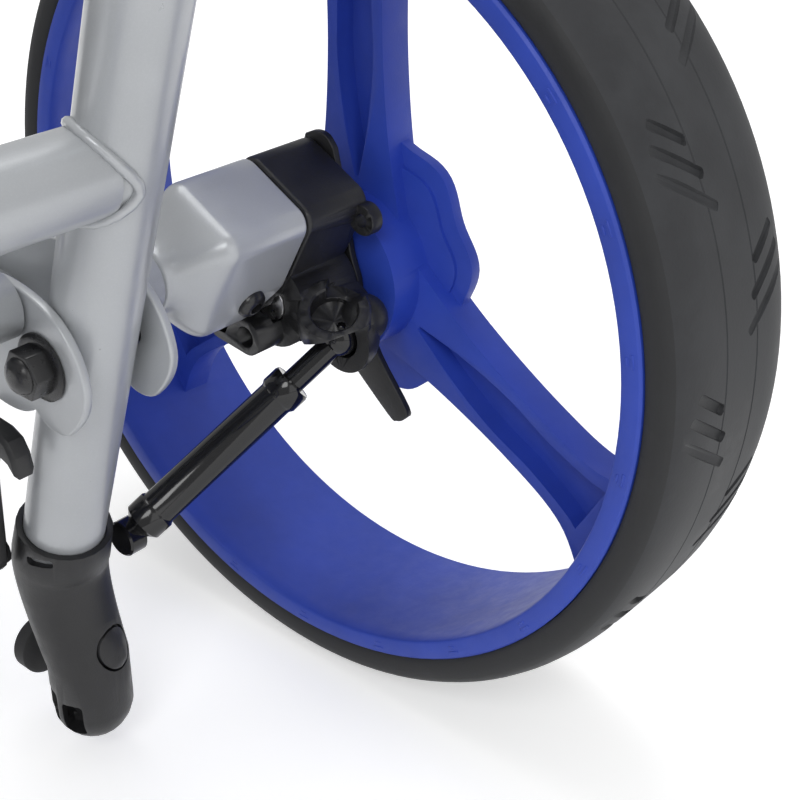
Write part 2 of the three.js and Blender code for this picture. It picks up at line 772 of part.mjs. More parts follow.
function handleStem() {
    const knuckle = new THREE.CylinderGeometry(16, 16, 2 * stem.knuckle, 24).rotateZ(Math.PI / 2);
    knuckle.translate(0, 0, hingeUp);
    const topOfTube = hingeUp + stem.length;
    const tube = new THREE.CylinderGeometry(stem.radius, stem.radius, stem.length - 8, 24).rotateX(Math.PI / 2);
    tube.translate(0, 0, hingeUp + 8 + (stem.length - 8) / 2);
    const headHalf = handleCheek.from + handleCheek.thickness;
    const head = new THREE.BoxGeometry(2 * headHalf, 2 * handleCheek.radius, 18).translate(0, 0, topOfTube);
    const cheeks = [-1, 1].flatMap((side) => {
        const x = side * (handleCheek.from + handleCheek.thickness / 2);
        const round = new THREE.CylinderGeometry(handleCheek.radius, handleCheek.radius, handleCheek.thickness, 16);
        const height = handleUp - topOfTube;
        const post = new THREE.BoxGeometry(handleCheek.thickness, 2 * handleCheek.radius, height);
        return [
            post.translate(x, 0, topOfTube + height / 2),
            round.rotateZ(Math.PI / 2).translate(x, 0, handleUp),
        ];
    });
    const pinHole = new THREE.CylinderGeometry(4.5, 4.5, 60, 20).rotateZ(Math.PI / 2).translate(0, 0, hingeUp);
    const topHole = new THREE.CylinderGeometry(3.8, 3.8, 60, 20).rotateZ(Math.PI / 2).translate(0, 0, handleUp);
    return cut(join(knuckle, tube, head, ...cheeks), pinHole, topHole).applyMatrix4(aheadOfRails);
}

const ringSegments = 28;
const gripSteps = 12;

const handlePivot = onFrame(0, handleUp);

// The handle's frame: x across, y away from the user's grip, z up, with its origin on the handle pivot.
const handleFrame = new THREE.Matrix4()
    .makeRotationX(-THREE.MathUtils.degToRad(handle.rise))
    .setPosition(handlePivot);

function handleLoop() {
    const knuckleHalf = handleCheek.from - runGap;
    const knuckle = new THREE.CylinderGeometry(12, 12, 2 * knuckleHalf, 24).rotateZ(Math.PI / 2);
    const pin = new THREE.CylinderGeometry(3.3, 3.3, 2 * (handleCheek.from + handleCheek.thickness), 16);
    pin.rotateZ(Math.PI / 2);
    const neck = new THREE.CylinderGeometry(handle.tube, handle.tube, handle.neck, 14);
    neck.translate(0, -handle.neck / 2 - 4, 0);
    const ring = new THREE.TorusGeometry(handle.ring, handle.tube, 8, ringSegments);
    ring.translate(0, -handle.neck - handle.ring, 0);
    return join(knuckle, pin, neck, ring).applyMatrix4(handleFrame);
}

function handleGrip() {
    const step = (2 * Math.PI) / ringSegments;
    const points = Array.from({ length: gripSteps + 1 }, (_, i) => {
        const angle = (i - (ringSegments * 3) / 4 + ringSegments / 2 - gripSteps / 2) * step;
        return new THREE.Vector3(
            handle.ring * Math.cos(angle),
            handle.ring * Math.sin(angle) - handle.neck - handle.ring,
            0,
        );
    });
    const section = new THREE.Shape(circlePoints(handle.grip));
    holeIn(section, handle.tube + 3 * seatGap);
    const grip = new THREE.ExtrudeGeometry(section, { steps: gripSteps, extrudePath: new RunPath(points) });
    return grip.applyMatrix4(handleFrame);
}

// A scorecard tray on a collar round the stem, facing the user.
function scorecardConsole() {
    const size = { width: 130, depth: 24, height: 84, wall: 3 };
    const centre = hingeUp + stem.length - 74;
    const back = -(stem.radius + 2);
    const box = new THREE.BoxGeometry(size.width, size.depth, size.height);
    box.translate(0, back - size.depth / 2, centre);
    const hollow = new THREE.BoxGeometry(size.width - 2 * size.wall, size.depth, size.height - 2 * size.wall);
    hollow.translate(0, back - size.depth / 2 - size.wall, centre);
    const collar = new THREE.CylinderGeometry(stem.radius + 5, stem.radius + 5, 30, 24).rotateX(Math.PI / 2);
    collar.translate(0, 0, centre);
    const bore = new THREE.CylinderGeometry(stem.radius + seatGap, stem.radius + seatGap, 200, 16);
    bore.rotateX(Math.PI / 2).translate(0, 0, centre);
    return cut(join(cut(box, hollow), collar), bore).applyMatrix4(aheadOfRails);
}

// ---- Assembly ----

const cart = new THREE.Group();

function paint(color, roughness, metalness = 0) {
    return new THREE.MeshStandardMaterial({ color, roughness, metalness });
}

const looks = {
    frame: () => paint(0xc4c8cd, 0.45, 0.1),
    black: () => paint(0x191a1c, 0.6),
    gloss: () => paint(0x101012, 0.25),
    blue: () => paint(0x2a3c9e, 0.5),
    rubber: () => paint(0x2b2c2f, 0.8),
    steel: () => paint(0xb5b7ba, 0.35, 1),
    strap: () => paint(0x1d1e22, 0.95),
};

function add(name, geometry, look, place) {
    const mesh = new THREE.Mesh(geometry, looks[look]());
    mesh.name = name;
    if (place) mesh.position.copy(place);
    cart.add(mesh);
}

// Adds a right-hand piece and its mirror image.
function addPair(name, geometry, look, place = new THREE.Vector3()) {
    add(`${name}_right`, geometry, look, place);
    add(`${name}_left`, mirrored(geometry), look, new THREE.Vector3(-place.x, place.y, place.z));
}

const rearPlace = new THREE.Vector3(trackHalf, 0, axisZ);

addPair('wheel_rim', rimGeometry(rearWheel), 'blue', rearPlace);
addPair('wheel_tyre', tyreGeometry(rearWheel), 'rubber', rearPlace);
addPair('hub_cap', capGeometry(rearWheel), 'black', rearPlace);
addPair('axle', axle(), 'steel', rearPlace);
addPair('wheel_bush', bushGeometry(), 'steel', rearPlace);
addPair('leg_plate_outer', slab(plateShape(), outerPlateX, plateThickness, 0, 3), 'frame', rearPlace);
addPair('leg_plate_inner', slab(plateShape(), innerPlateX, plateThickness, 0, 3), 'frame', rearPlace);
addPair('wheel_arm', wheelArm(), 'frame', rearPlace);
addPair('arm_block', wheelBlock(), 'frame', rearPlace);
addPair('wheel_housing', wheelHousing(), 'black', rearPlace);
addPair('brake_lever', brakeLever(), 'black', rearPlace);

addPair('block_screw', blockScrew(), 'gloss', rearPlace);

const foldBolt = bolt(innerPlateX, outerPlateX + plateThickness, pivot.y, pivot.z, boltRadius, false);
addPair('fold_bolt', foldBolt, 'gloss', rearPlace);

const beamEnd = trackHalf + innerPlateX - seatGap;
add('axle_beam', rodX(-beamEnd, beamEnd, beamAt.y, axisZ + beamAt.z, armRadius, armRadius - tubeWall, 28), 'frame');

const strutParts = strutPieces();
addPair('strut_rod', strutParts.rod, 'gloss', rearPlace);
addPair('strut_sleeve', strutParts.sleeve, 'gloss', rearPlace);

addPair('rail', rail(), 'frame');
add('cross_tube', crossTube(crossUp, crossRadius), 'frame');
add('upper_cross_tube', crossTube(upperCrossUp, upperTubeRadius), 'frame');
addPair('foot', footBody(), 'black');
addPair('foot_stop', footStop(), 'rubber');
addPair('fold_latch', foldLatch(), 'black', rearPlace);

const frontPlace = new THREE.Vector3(-frontWheel.width / 2, frontAxle.y, frontAxle.z);
add('front_rim', rimGeometry(frontWheel), 'blue', frontPlace);
add('front_tyre', tyreGeometry(frontWheel), 'rubber', frontPlace);
const frontBushHalf = forkX - forkThickness / 2 - runGap;
const frontBush = rodX(-frontBushHalf, frontBushHalf, 0, 0, bushRadius, axleRadius + seatGap, 16);
const frontCentre = new THREE.Vector3(0, frontAxle.y, frontAxle.z);
add('front_bush', frontBush, 'steel', frontCentre);
add('front_axle', frontAxlePin(), 'steel', frontCentre);
addPair('front_leg', frontLeg(), 'frame');

const legBolt = bolt(innerPlateX, outerPlateX + plateThickness, legBoltY, legUp, legBoltRadius);
addPair('leg_bolt', legBolt, 'gloss', rearPlace);

const bridge = { y: 302, z: axisZ - 1, radius: 9 };
const bridgeEnd = forkX - legRadius - seatGap;
const bridgeTube = rodX(-bridgeEnd, bridgeEnd, bridge.y, bridge.z, bridge.radius, bridge.radius - tubeWall, 16);
add('leg_bridge', bridgeTube, 'frame');

add('bag_tray', bagTray(), 'black');
add('upper_cradle', upperCradle(), 'black');
add('bag_strap', bagStrap(), 'strap');
add('stem_bracket', stemBracket(), 'black');
add('handle_knob', handleKnob(), 'black');
add('handle_stem', handleStem(), 'frame');
add('handle_loop', handleLoop(), 'frame');
add('handle_grip', handleGrip(), 'rubber');
add('scorecard_console', scorecardConsole(), 'black');

// The origin is on the ground below the middle of the cart's box.
const box = new THREE.Box3().setFromObject(cart);
cart.position.y = -(box.min.y + box.max.y) / 2;

export default cart;
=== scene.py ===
import json
import math
import bpy
from mathutils import Matrix, Vector

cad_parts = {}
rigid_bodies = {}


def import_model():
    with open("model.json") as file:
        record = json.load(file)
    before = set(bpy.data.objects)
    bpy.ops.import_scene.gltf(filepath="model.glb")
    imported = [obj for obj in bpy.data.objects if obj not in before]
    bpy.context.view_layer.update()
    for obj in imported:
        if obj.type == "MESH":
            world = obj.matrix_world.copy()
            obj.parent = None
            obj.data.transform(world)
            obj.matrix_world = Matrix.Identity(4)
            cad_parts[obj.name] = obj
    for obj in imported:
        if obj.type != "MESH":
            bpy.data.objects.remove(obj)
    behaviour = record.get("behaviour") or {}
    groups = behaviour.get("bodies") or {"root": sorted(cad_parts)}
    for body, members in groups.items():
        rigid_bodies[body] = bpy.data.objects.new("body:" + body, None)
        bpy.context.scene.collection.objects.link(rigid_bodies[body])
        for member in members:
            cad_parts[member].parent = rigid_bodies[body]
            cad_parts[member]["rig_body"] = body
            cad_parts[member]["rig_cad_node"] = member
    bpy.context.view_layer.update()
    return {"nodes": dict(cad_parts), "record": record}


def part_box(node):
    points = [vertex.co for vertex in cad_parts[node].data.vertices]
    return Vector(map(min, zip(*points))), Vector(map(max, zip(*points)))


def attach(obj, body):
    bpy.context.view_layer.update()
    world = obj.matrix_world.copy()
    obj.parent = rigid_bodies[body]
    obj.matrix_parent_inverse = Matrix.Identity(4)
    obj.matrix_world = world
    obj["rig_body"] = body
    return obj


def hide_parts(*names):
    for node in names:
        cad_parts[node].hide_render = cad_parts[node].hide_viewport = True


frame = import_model()
scene = bpy.context.scene
bodyOfNode = {n: o["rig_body"] for n, o in frame["nodes"].items()}
slotOfNode = {s["node"]: s["material_slot"] for s in frame["record"]["subparts"]}

tyreLow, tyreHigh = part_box("wheel_tyre_right")
wheelAxis = (tyreLow + tyreHigh) / 2  # centre of the right rear wheel
wheelFace = tyreLow.x  # its inner face
wheelSize = (tyreHigh.z - tyreLow.z) / 2
mm = 0.001


# ---------- small tools ----------

def clearSelection():
    if bpy.context.object and bpy.context.object.mode != 'OBJECT':
        bpy.ops.object.mode_set(mode='OBJECT')
    bpy.ops.object.select_all(action='DESELECT')


def pick(piece):
    clearSelection()
    piece.select_set(True)
    bpy.context.view_layer.objects.active = piece
    return piece


def editAll(piece):
    pick(piece)
    bpy.ops.object.mode_set(mode='EDIT')
    bpy.ops.mesh.select_all(action='SELECT')


def endEdit():
    bpy.ops.object.mode_set(mode='OBJECT')


def applied(piece, kind, **settings):  # adds a modifier and applies it
    pick(piece)
    modifier = piece.modifiers.new(kind.title(), kind)
    for key, value in settings.items():
        setattr(modifier, key, value)
    bpy.ops.object.modifier_apply(modifier=modifier.name)
    return piece


def rounded(piece, width, segments=2, angle=30):
    return applied(piece, 'BEVEL', width=width, segments=segments, limit_method='ANGLE',
                   angle_limit=math.radians(angle), use_clamp_overlap=True, harden_normals=False)


def smoothed(piece, angle=32):
    pick(piece)
    bpy.ops.object.shade_smooth_by_angle(angle=math.radians(angle))
    return piece


def tidied(piece, distance=1e-6):
    editAll(piece)
    bpy.ops.mesh.remove_doubles(threshold=distance)
    bpy.ops.mesh.dissolve_degenerate(threshold=distance)
    bpy.ops.mesh.select_all(action='SELECT')
    bpy.ops.mesh.normals_make_consistent(inside=False)
    endEdit()
    return piece


def carried(name):  # a merged copy of a CAD node's mesh
    source = frame["nodes"][name]
    copy = source.copy()
    copy.data = source.data.copy()
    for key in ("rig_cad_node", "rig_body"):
        if key in copy:
            del copy[key]
    copy.parent = None
    copy.matrix_world = Matrix.Identity(4)
    copy.name = name + "_copy"
    scene.collection.objects.link(copy)
    copy.data.materials.clear()
    editAll(copy)
    bpy.ops.mesh.remove_doubles(threshold=2e-6)
    bpy.ops.mesh.customdata_custom_splitnormals_clear()
    bpy.ops.mesh.dissolve_limited(angle_limit=math.radians(0.6))
    endEdit()
    return copy


def finished(piece, name, body, finish, nodes):
    piece.name = name
    piece.data.name = name
    if finish is not None:
        piece.data.materials.clear()
        piece.data.materials.append(finish)
    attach(piece, body)
    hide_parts(*nodes)
    return piece


# ---------- finishes ----------

class Graph:  # a short way to lay out shader nodes
    def __init__(self, name):
        self.material = bpy.data.materials.new(name)
        self.material.use_nodes = True
        self.tree = self.material.node_tree
        self.shader = self.tree.nodes["Principled BSDF"]
        self.place = self.tree.nodes.new("ShaderNodeTexCoord").outputs["Object"]

    def node(self, kind, inputs=(), **settings):
        made = self.tree.nodes.new(kind)
        for key, value in settings.items():
            setattr(made, key, value)
        for key, value in dict(inputs).items():
            if isinstance(value, bpy.types.NodeSocket):
                self.tree.links.new(value, made.inputs[key])
            else:
                made.inputs[key].default_value = value
        return made

    def noise(self, size, detail=3.0, rough=0.55, place=None):  # size in metres
        return self.node("ShaderNodeTexNoise", {"Vector": place or self.place, "Scale": 1 / size,
                                                "Detail": detail, "Roughness": rough}).outputs["Fac"]

    def span(self, value, low, high, fromLow=0.3, fromHigh=0.7):
        return self.node("ShaderNodeMapRange", {"Value": value, "From Min": fromLow, "From Max": fromHigh,
                                                "To Min": low, "To Max": high}).outputs["Result"]

    def blend(self, value, first, second):
        mix = self.node("ShaderNodeMix", {"Factor": value}, data_type='RGBA')
        for index, colour in ((6, first), (7, second)):
            if isinstance(colour, bpy.types.NodeSocket):
                self.tree.links.new(colour, mix.inputs[index])
            else:
                mix.inputs[index].default_value = (*colour, 1)
        return mix.outputs[2]

    def bumps(self, layers):  # (height socket, depth in metres) pairs, one over another
        normal = None
        for height, depth in layers:
            inputs = {"Height": height, "Distance": depth, "Strength": 1.0}
            if normal is not None:
                inputs["Normal"] = normal
            normal = self.node("ShaderNodeBump", inputs).outputs["Normal"]
        self.tree.links.new(normal, self.shader.inputs["Normal"])

    def wire(self, **sockets):
        for key, value in sockets.items():
            target = self.shader.inputs[key.replace("_", " ")]
            if isinstance(value, bpy.types.NodeSocket):
                self.tree.links.new(value, target)
            else:
                target.default_value = value
        return self.material


def paintedMetal():
    look = {"pale": (0.47, 0.487, 0.505), "shade": (0.425, 0.44, 0.457), "speck": 0.0005, "cloud": 0.05}
    g = Graph("silverPaint")
    cloud = g.noise(look["cloud"], 3)
    speck = g.noise(look["speck"], 2)
    colour = g.blend(g.span(cloud, 0.0, 1.0), look["shade"], look["pale"])
    flake = g.blend(g.span(speck, 0.0, 0.07, 0.45, 0.75), colour, (0.70, 0.72, 0.74))
    scuff = g.noise(0.009, 6, 0.7)
    g.bumps([(g.noise(0.0022, 2), 0.00001), (speck, 0.000008)])
    return g.wire(Base_Color=flake, Roughness=g.span(scuff, 0.27, 0.42), Metallic=0.25,
                  Coat_Weight=0.3, Coat_Roughness=0.12)


def mouldedPlastic(name, base, worn, low, high, grain=0.0007, depth=0.000025):
    g = Graph(name)
    cloud = g.noise(0.03, 4)
    rub = g.noise(0.006, 7, 0.7)
    colour = g.blend(g.span(cloud, 0.0, 1.0), base, tuple(c * 1.25 for c in base))
    colour = g.blend(g.span(rub, 0.0, 0.35, 0.6, 0.8), colour, worn)
    fine = g.node("ShaderNodeTexVoronoi", {"Vector": g.place, "Scale": 1 / grain}).outputs["Distance"]
    g.bumps([(fine, depth), (g.noise(0.012, 2), 0.00006)])
    return g.wire(Base_Color=colour, Roughness=g.span(rub, low, high))


def tyreRubber(name, base, dust):
    g = Graph(name)
    patch = g.noise(0.02, 5, 0.65)
    colour = g.blend(g.span(patch, 0.0, 0.7, 0.42, 0.72), base, dust)
    g.bumps([(g.noise(0.0009, 3), 0.00005), (g.noise(0.006, 3), 0.00005)])
    return g.wire(Base_Color=colour, Roughness=g.span(patch, 0.62, 0.78), Sheen_Weight=0.05)


def brightSteel():
    g = Graph("turnedSteel")
    stretched = g.node("ShaderNodeMapping", {"Vector": g.place, "Scale": (20.0, 1.0, 1.0)}).outputs["Vector"]
    lines = g.noise(0.004, 4, 0.6, stretched)
    g.bumps([(lines, 0.00001)])
    colour = g.blend(g.span(lines, 0.0, 1.0), (0.52, 0.52, 0.53), (0.66, 0.66, 0.67))
    return g.wire(Base_Color=colour, Roughness=g.span(lines, 0.22, 0.38), Metallic=1.0)


def wovenWebbing():
    g = Graph("wovenWebbing")
    ribs = g.node("ShaderNodeTexWave", {"Vector": g.place, "Scale": 340.0, "Distortion": 0.4},
                  wave_type='BANDS', bands_direction='Z').outputs["Fac"]
    picks = g.node("ShaderNodeTexWave", {"Vector": g.place, "Scale": 260.0, "Distortion": 0.4},
                   wave_type='BANDS', bands_direction='X').outputs["Fac"]
    weave = g.node("ShaderNodeMath", {0: ribs, 1: picks}, operation='MULTIPLY').outputs[0]
    colour = g.blend(weave, (0.012, 0.012, 0.014), (0.05, 0.05, 0.056))
    g.bumps([(weave, 0.0003)])
    return g.wire(Base_Color=colour, Roughness=0.85, Sheen_Weight=0.25)


finishes = {
    "frame_paint": paintedMetal(),
    "black_plastic": mouldedPlastic("grainedBlack", (0.011, 0.011, 0.012), (0.03, 0.03, 0.032), 0.36, 0.52),
    "gloss_black": mouldedPlastic("glossBlack", (0.006, 0.006, 0.007), (0.012, 0.012, 0.013), 0.07, 0.15, 0.002, 0.000004),
    "black_steel": mouldedPlastic("blackOxide", (0.012, 0.012, 0.013), (0.05, 0.05, 0.05), 0.22, 0.38, 0.0006, 0.00001),
    "rim_blue": mouldedPlastic("rimBlue", (0.020, 0.054, 0.390), (0.045, 0.085, 0.46), 0.42, 0.56, 0.0006, 0.00002),
    "tyre_rubber": tyreRubber("treadRubber", (0.020, 0.021, 0.024), (0.044, 0.046, 0.05)),
    "soft_rubber": tyreRubber("softRubber", (0.014, 0.014, 0.015), (0.03, 0.03, 0.031)),
    "steel": brightSteel(),
    "webbing": wovenWebbing(),
}
sidewallRubber = tyreRubber("sidewallRubber", (0.012, 0.0125, 0.014), (0.028, 0.029, 0.03))
print("finishes made", len(finishes) + 1)

made = set()  # nodes that a detailed piece stands for

# ---------- drawing tools, in millimetres ----------

def loopPiece(points):  # a closed loop of edges through points
    clearSelection()
    bpy.ops.mesh.primitive_circle_add(vertices=len(points), radius=1, fill_type='NOTHING')
    piece = bpy.context.object
    for vertex, point in zip(piece.data.vertices, points):
        vertex.co = Vector(point) * mm
    return piece


def spunRing(profile, steps):  # a closed list of (radius, x) turned about the X axis
    piece = loopPiece([(x, 0, r) for r, x in profile])
    editAll(piece)
    bpy.ops.mesh.spin(steps=steps, angle=2 * math.pi, center=(0, 0, 0), axis=(1, 0, 0))
    endEdit()
    return tidied(piece, 2e-6)


def prism(outline, start, end):  # a (y, z) outline drawn out along X
    piece = loopPiece([(start, y, z) for y, z in outline])
    editAll(piece)
    bpy.ops.mesh.edge_face_add()
    bpy.ops.mesh.extrude_region_move(TRANSFORM_OT_translate={"value": ((end - start) * mm, 0, 0)})
    endEdit()
    return tidied(piece)


def combined(piece, other, operation='UNION'):
    applied(piece, 'BOOLEAN', operation=operation, object=other, solver='EXACT')
    bpy.data.objects.remove(other)
    return piece


def turnedBy(piece, matrix):
    piece.data.transform(matrix)
    if matrix.determinant() < 0:
        editAll(piece)
        bpy.ops.mesh.flip_normals()
        endEdit()
    return piece


def duplicate(piece):
    copy = piece.copy()
    copy.data = piece.data.copy()
    scene.collection.objects.link(copy)
    return copy


def joined(pieces):
    clearSelection()
    for piece in pieces:
        piece.select_set(True)
    bpy.context.view_layer.objects.active = pieces[0]
    bpy.ops.object.join()
    return bpy.context.object


def easedThrough(points, steps):  # a smooth run through points
    out = []
    for i in range(len(points) - 1):
        a, b = Vector(points[max(i - 1, 0)]), Vector(points[i])
        c, d = Vector(points[i + 1]), Vector(points[min(i + 2, len(points) - 1)])
        for k in range(steps):
            t = k / steps
            out.append(tuple(0.5 * (2 * b + (c - a) * t + (2 * a - 5 * b + 4 * c - d) * t * t
                                    + (3 * b - a - 3 * c + d) * t ** 3)))
    return out + [tuple(points[-1])]


def roundCorners(width, height, corner, centre=(0, 0), tilt=0, steps=6):
    out = []
    turn = math.radians(tilt)
    for i, (sy, sz) in enumerate(((1, 1), (-1, 1), (-1, -1), (1, -1))):
        for k in range(steps + 1):
            angle = (i + k / steps) * math.pi / 2
            u = sy * (width / 2 - corner) + corner * math.cos(angle)
            v = sz * (height / 2 - corner) + corner * math.sin(angle)
            out.append((centre[0] + u * math.cos(turn) - v * math.sin(turn),
                        centre[1] + u * math.sin(turn) + v * math.cos(turn)))
    return out


def tubePiece(points, radius, sides=40, closed=False, swell=None):  # metres; swell gives a radius factor at each point
    clearSelection()
    bpy.ops.curve.primitive_nurbs_path_add()
    line = bpy.context.object
    line.data.splines.clear()
    spline = line.data.splines.new('POLY')
    spline.points.add(len(points) - 1)
    for i, (target, point) in enumerate(zip(spline.points, points)):
        target.co = (*point, 1)
        target.radius = swell[i] if swell else 1
    spline.use_cyclic_u = closed
    line.data.dimensions = '3D'
    line.data.bevel_depth = radius
    line.data.bevel_resolution = sides // 4 - 2
    line.data.use_fill_caps = not closed
    line.data.twist_mode = 'MINIMUM'
    pick(line)
    bpy.ops.object.convert(target='MESH')
    return tidied(bpy.context.object)


def bentRun(points, bend, steps=10):  # straight runs joined by round bends
    run = [points[0]]
    for before, corner, after in zip(points, points[1:], points[2:]):
        enter = corner + (before - corner).normalized() * bend
        leave = corner + (after - corner).normalized() * bend
        for k in range(steps + 1):
            t = k / steps
            run.append(enter * (1 - t) ** 2 + corner * 2 * t * (1 - t) + leave * t * t)
    return run + [points[-1]]


def onWheel(side=1):  # carries a piece drawn in the right wheel's frame to its place
    place = Matrix.Translation((wheelFace, wheelAxis.y, wheelAxis.z))
    return place if side > 0 else Matrix.Scale(-1, 4, (1, 0, 0)) @ place


def pairOf(piece, name, bodies, finish, matrix=None):  # right piece and its mirrored copy
    other = duplicate(piece)
    base = matrix or onWheel()
    turnedBy(piece, base)
    turnedBy(other, Matrix.Scale(-1, 4, (1, 0, 0)) @ base)
    for made_, side, body in ((piece, "right", bodies[0]), (other, "left", bodies[1])):
        node = f"{name}_{side}"
        finished(made_, node + "_made", body, finish, [node])
        made.add(node)
    return piece, other


# ---------- wheels ----------

rimShape = {"seat": 13, "lip": 7, "farLip": 3, "hub": 27, "hubInset": 9, "bore": 9.6, "steps": 144,
            "hubNear": 20, "webAt": 38, "armNear": 32, "armDeep": 12, "half": 11.5, "groove": 7.5}


def wheelRim(radius, width):
    look = rimShape
    seat, deep = radius - look["seat"], width / 61
    inner = seat - look["lip"]
    near, web_, arm_ = look["hubNear"] * deep, look["webAt"] * deep, look["armNear"] * deep
    rim = spunRing([(inner, 1.4), (inner + 0.4, 0.4), (inner + 1.2, 0), (seat - 0.8, 0), (seat, 0.8), (seat, width - 0.6),
                    (seat - 0.6, width), (seat - look["farLip"], width), (inner + 1.0, 14), (inner + 0.2, 6)], look["steps"])
    hub = spunRing([(look["bore"], near), (look["hub"], near), (look["hub"], width - look["hubInset"]),
                    (look["bore"], width - look["hubInset"])], 72)
    combined(rim, hub)
    edge = []
    points = 120
    for i in range(points):
        share = (i % (points // 3)) / (points // 3)
        radius_ = 49 - 9 * share + 1.6 * math.cos(share * 6 * math.pi)
        angle = math.pi / 2 + i / points * 2 * math.pi
        edge.append((radius_ * math.cos(angle), radius_ * math.sin(angle)))
    web = prism(edge, web_, web_ + 4)
    step = prism([(y * 0.86, z * 0.86) for y, z in edge], web_ - 1.2, web_ + 3)
    combined(web, step)
    combined(rim, web)
    half = look["half"]
    side = easedThrough([(half + 7.5, 16.2), (half + 2, 47), (half, inner * 0.66), (half + 2.5, inner * 0.87),
                         (half + 15, inner + 2.5)], 8)
    arm = prism(side + [(-y, z) for y, z in reversed(side)], arm_, arm_ + look["armDeep"] * deep)
    channel = easedThrough([(0.8, 31), (5.2, 50), (7.6, 70), (7.2, 90), (8.8, inner * 0.86), (10.5, inner * 0.91)], 6)
    slot = prism(channel + [(-y, z) for y, z in reversed(channel)], arm_ - 2, arm_ + look["groove"] * deep)
    for tool, operation in ((arm, 'UNION'), (slot, 'DIFFERENCE')):
        for k in range(3):
            copy = duplicate(tool)
            turnedBy(copy, Matrix.Rotation(k * 2 * math.pi / 3, 4, 'X'))
            combined(rim, copy, operation)
        bpy.data.objects.remove(tool)
    bore = prism([(look["bore"] * math.cos(a * math.pi / 24), look["bore"] * math.sin(a * math.pi / 24))
                  for a in range(48)], -1, width + 1)
    combined(rim, bore, 'DIFFERENCE')
    tidied(rim, 4e-6)
    rounded(rim, 0.9 * mm, 2, 38)
    return smoothed(rim, 40)


tyreShape = {"steps": 160, "groups": 12, "bars": ((-11, 27), (-3, 21), (5, 15)), "slant": 34, "barWide": 3.3, "barDeep": 1.7}


def tyre(radius, width):
    look = tyreShape
    seat = radius - rimShape["seat"] + 0.3
    half = [(seat, 1.5), (seat + 1.2, 0.7), (radius - 8, 0.4), (radius - 5.5, 0.7), (radius - 3.6, 2.2), (radius - 2.2, 4.6),
            (radius - 1.1, 8), (radius - 0.4, 12), (radius - 0.1, 16)]
    lines = [(radius, width * 0.36), (radius - 0.45, width * 0.36 + 0.4), (radius, width * 0.36 + 0.8)]
    back = [(r, width - x) for r, x in reversed(half + lines)]
    ring = spunRing(half + lines + back, look["steps"])
    bars = []
    for group in range(2 * look["groups"]):
        side = 1 if group % 2 else -1
        turn = group * math.pi / look["groups"]
        for shift, length in look["bars"]:
            clearSelection()
            bpy.ops.mesh.primitive_cube_add(size=1)
            bar = bpy.context.object
            bar.data.transform(Matrix.Diagonal((length * mm, look["barWide"] * mm, 2 * look["barDeep"] * mm, 1)))
            rounded(bar, 1.1 * mm, 2, 60)
            slant = Matrix.Rotation(math.radians(look["slant"] * side), 4, 'Z')
            offset = Matrix.Translation((side * width * 0.24 * mm, shift * mm, 0))
            turnedBy(bar, Matrix.Rotation(turn, 4, 'X') @ Matrix.Translation((width / 2 * mm, 0, (radius - 0.2) * mm)) @ offset @ slant)
            bars.append(bar)
    combined(ring, joined(bars), 'DIFFERENCE')
    tidied(ring, 2e-6)
    smoothed(ring, 34)
    ring.data.materials.clear()
    ring.data.materials.append(finishes["tyre_rubber"])
    ring.data.materials.append(sidewallRubber)
    for face in ring.data.polygons:
        middle = face.center
        out = math.hypot(middle.y, middle.z)
        face.material_index = 0 if out > (radius - 3.2) * mm and 3 * mm < middle.x < (width - 3) * mm else 1
    return ring


def lipMarks(radius):  # pairs of short raised dashes round the rim's flat lip
    look = {"count": 22, "long": 4.6, "wide": 0.9, "high": 0.25, "apart": 1.9}
    middle = radius - rimShape["seat"] - rimShape["lip"] / 2
    dashes = []
    for k in range(2 * look["count"]):
        clearSelection()
        bpy.ops.mesh.primitive_cube_add(size=1)
        dash = bpy.context.object
        dash.data.transform(Matrix.Diagonal((2 * look["high"] * mm, look["long"] * mm * (1 if k % 2 else 0.6), look["wide"] * mm, 1)))
        rounded(dash, 0.2 * mm, 1, 60)
        height = middle + (look["apart"] if k % 2 else -look["apart"]) / 2
        turnedBy(dash, Matrix.Rotation((k // 2) * 2 * math.pi / look["count"], 4, 'X') @ Matrix.Translation((0, 0, height * mm)))
        dashes.append(dash)
    return smoothed(joined(dashes), 40)


rearRim = wheelRim(145, 61)
pairOf(rearRim, "wheel_rim", ("wheel_right", "wheel_left"), finishes["rim_blue"])
rearTyre = tyre(145, 61)
pairOf(rearTyre, "wheel_tyre", ("wheel_right", "wheel_left"), None)
marks = lipMarks(145)
marksLeft = duplicate(marks)
turnedBy(marks, onWheel())
turnedBy(marksLeft, onWheel(-1))
for piece, side in ((marks, "right"), (marksLeft, "left")):
    piece.name = "lip_marks_" + side
    piece.data.materials.append(finishes["rim_blue"])
    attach(piece, "wheel_" + side)
frontLow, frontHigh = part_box("front_tyre")
frontPlace = Matrix.Translation((frontLow.x, (frontLow.y + frontHigh.y) / 2, (frontLow.z + frontHigh.z) / 2))
for build, node, finish in ((wheelRim, "front_rim", finishes["rim_blue"]), (tyre, "front_tyre", None)):
    piece = turnedBy(build(120, 52), frontPlace)
    finished(piece, node + "_made", "front_wheel", finish, [node])
    made.add(node)
print("wheels made")

# ---------- frame tubes ----------

lean = math.radians(19)
alongRails = Vector((0, -math.sin(lean), math.cos(lean)))
aheadOfRails = Vector((0, math.cos(lean), math.sin(lean)))
foldAxis = Vector((0, wheelAxis.y - 3 * mm, wheelAxis.z + 13 * mm))
railX = 145 * mm
tubes = {"rail": 12.7, "neck": 34, "bend": 34, "cross": 12.2, "crossUp": 62, "upper": 9, "upperUp": 300}


def onFrame(x, along, out=0):  # x in metres, the others in millimetres
    return Vector((x, foldAxis.y, foldAxis.z)) + alongRails * along * mm + aheadOfRails * out * mm


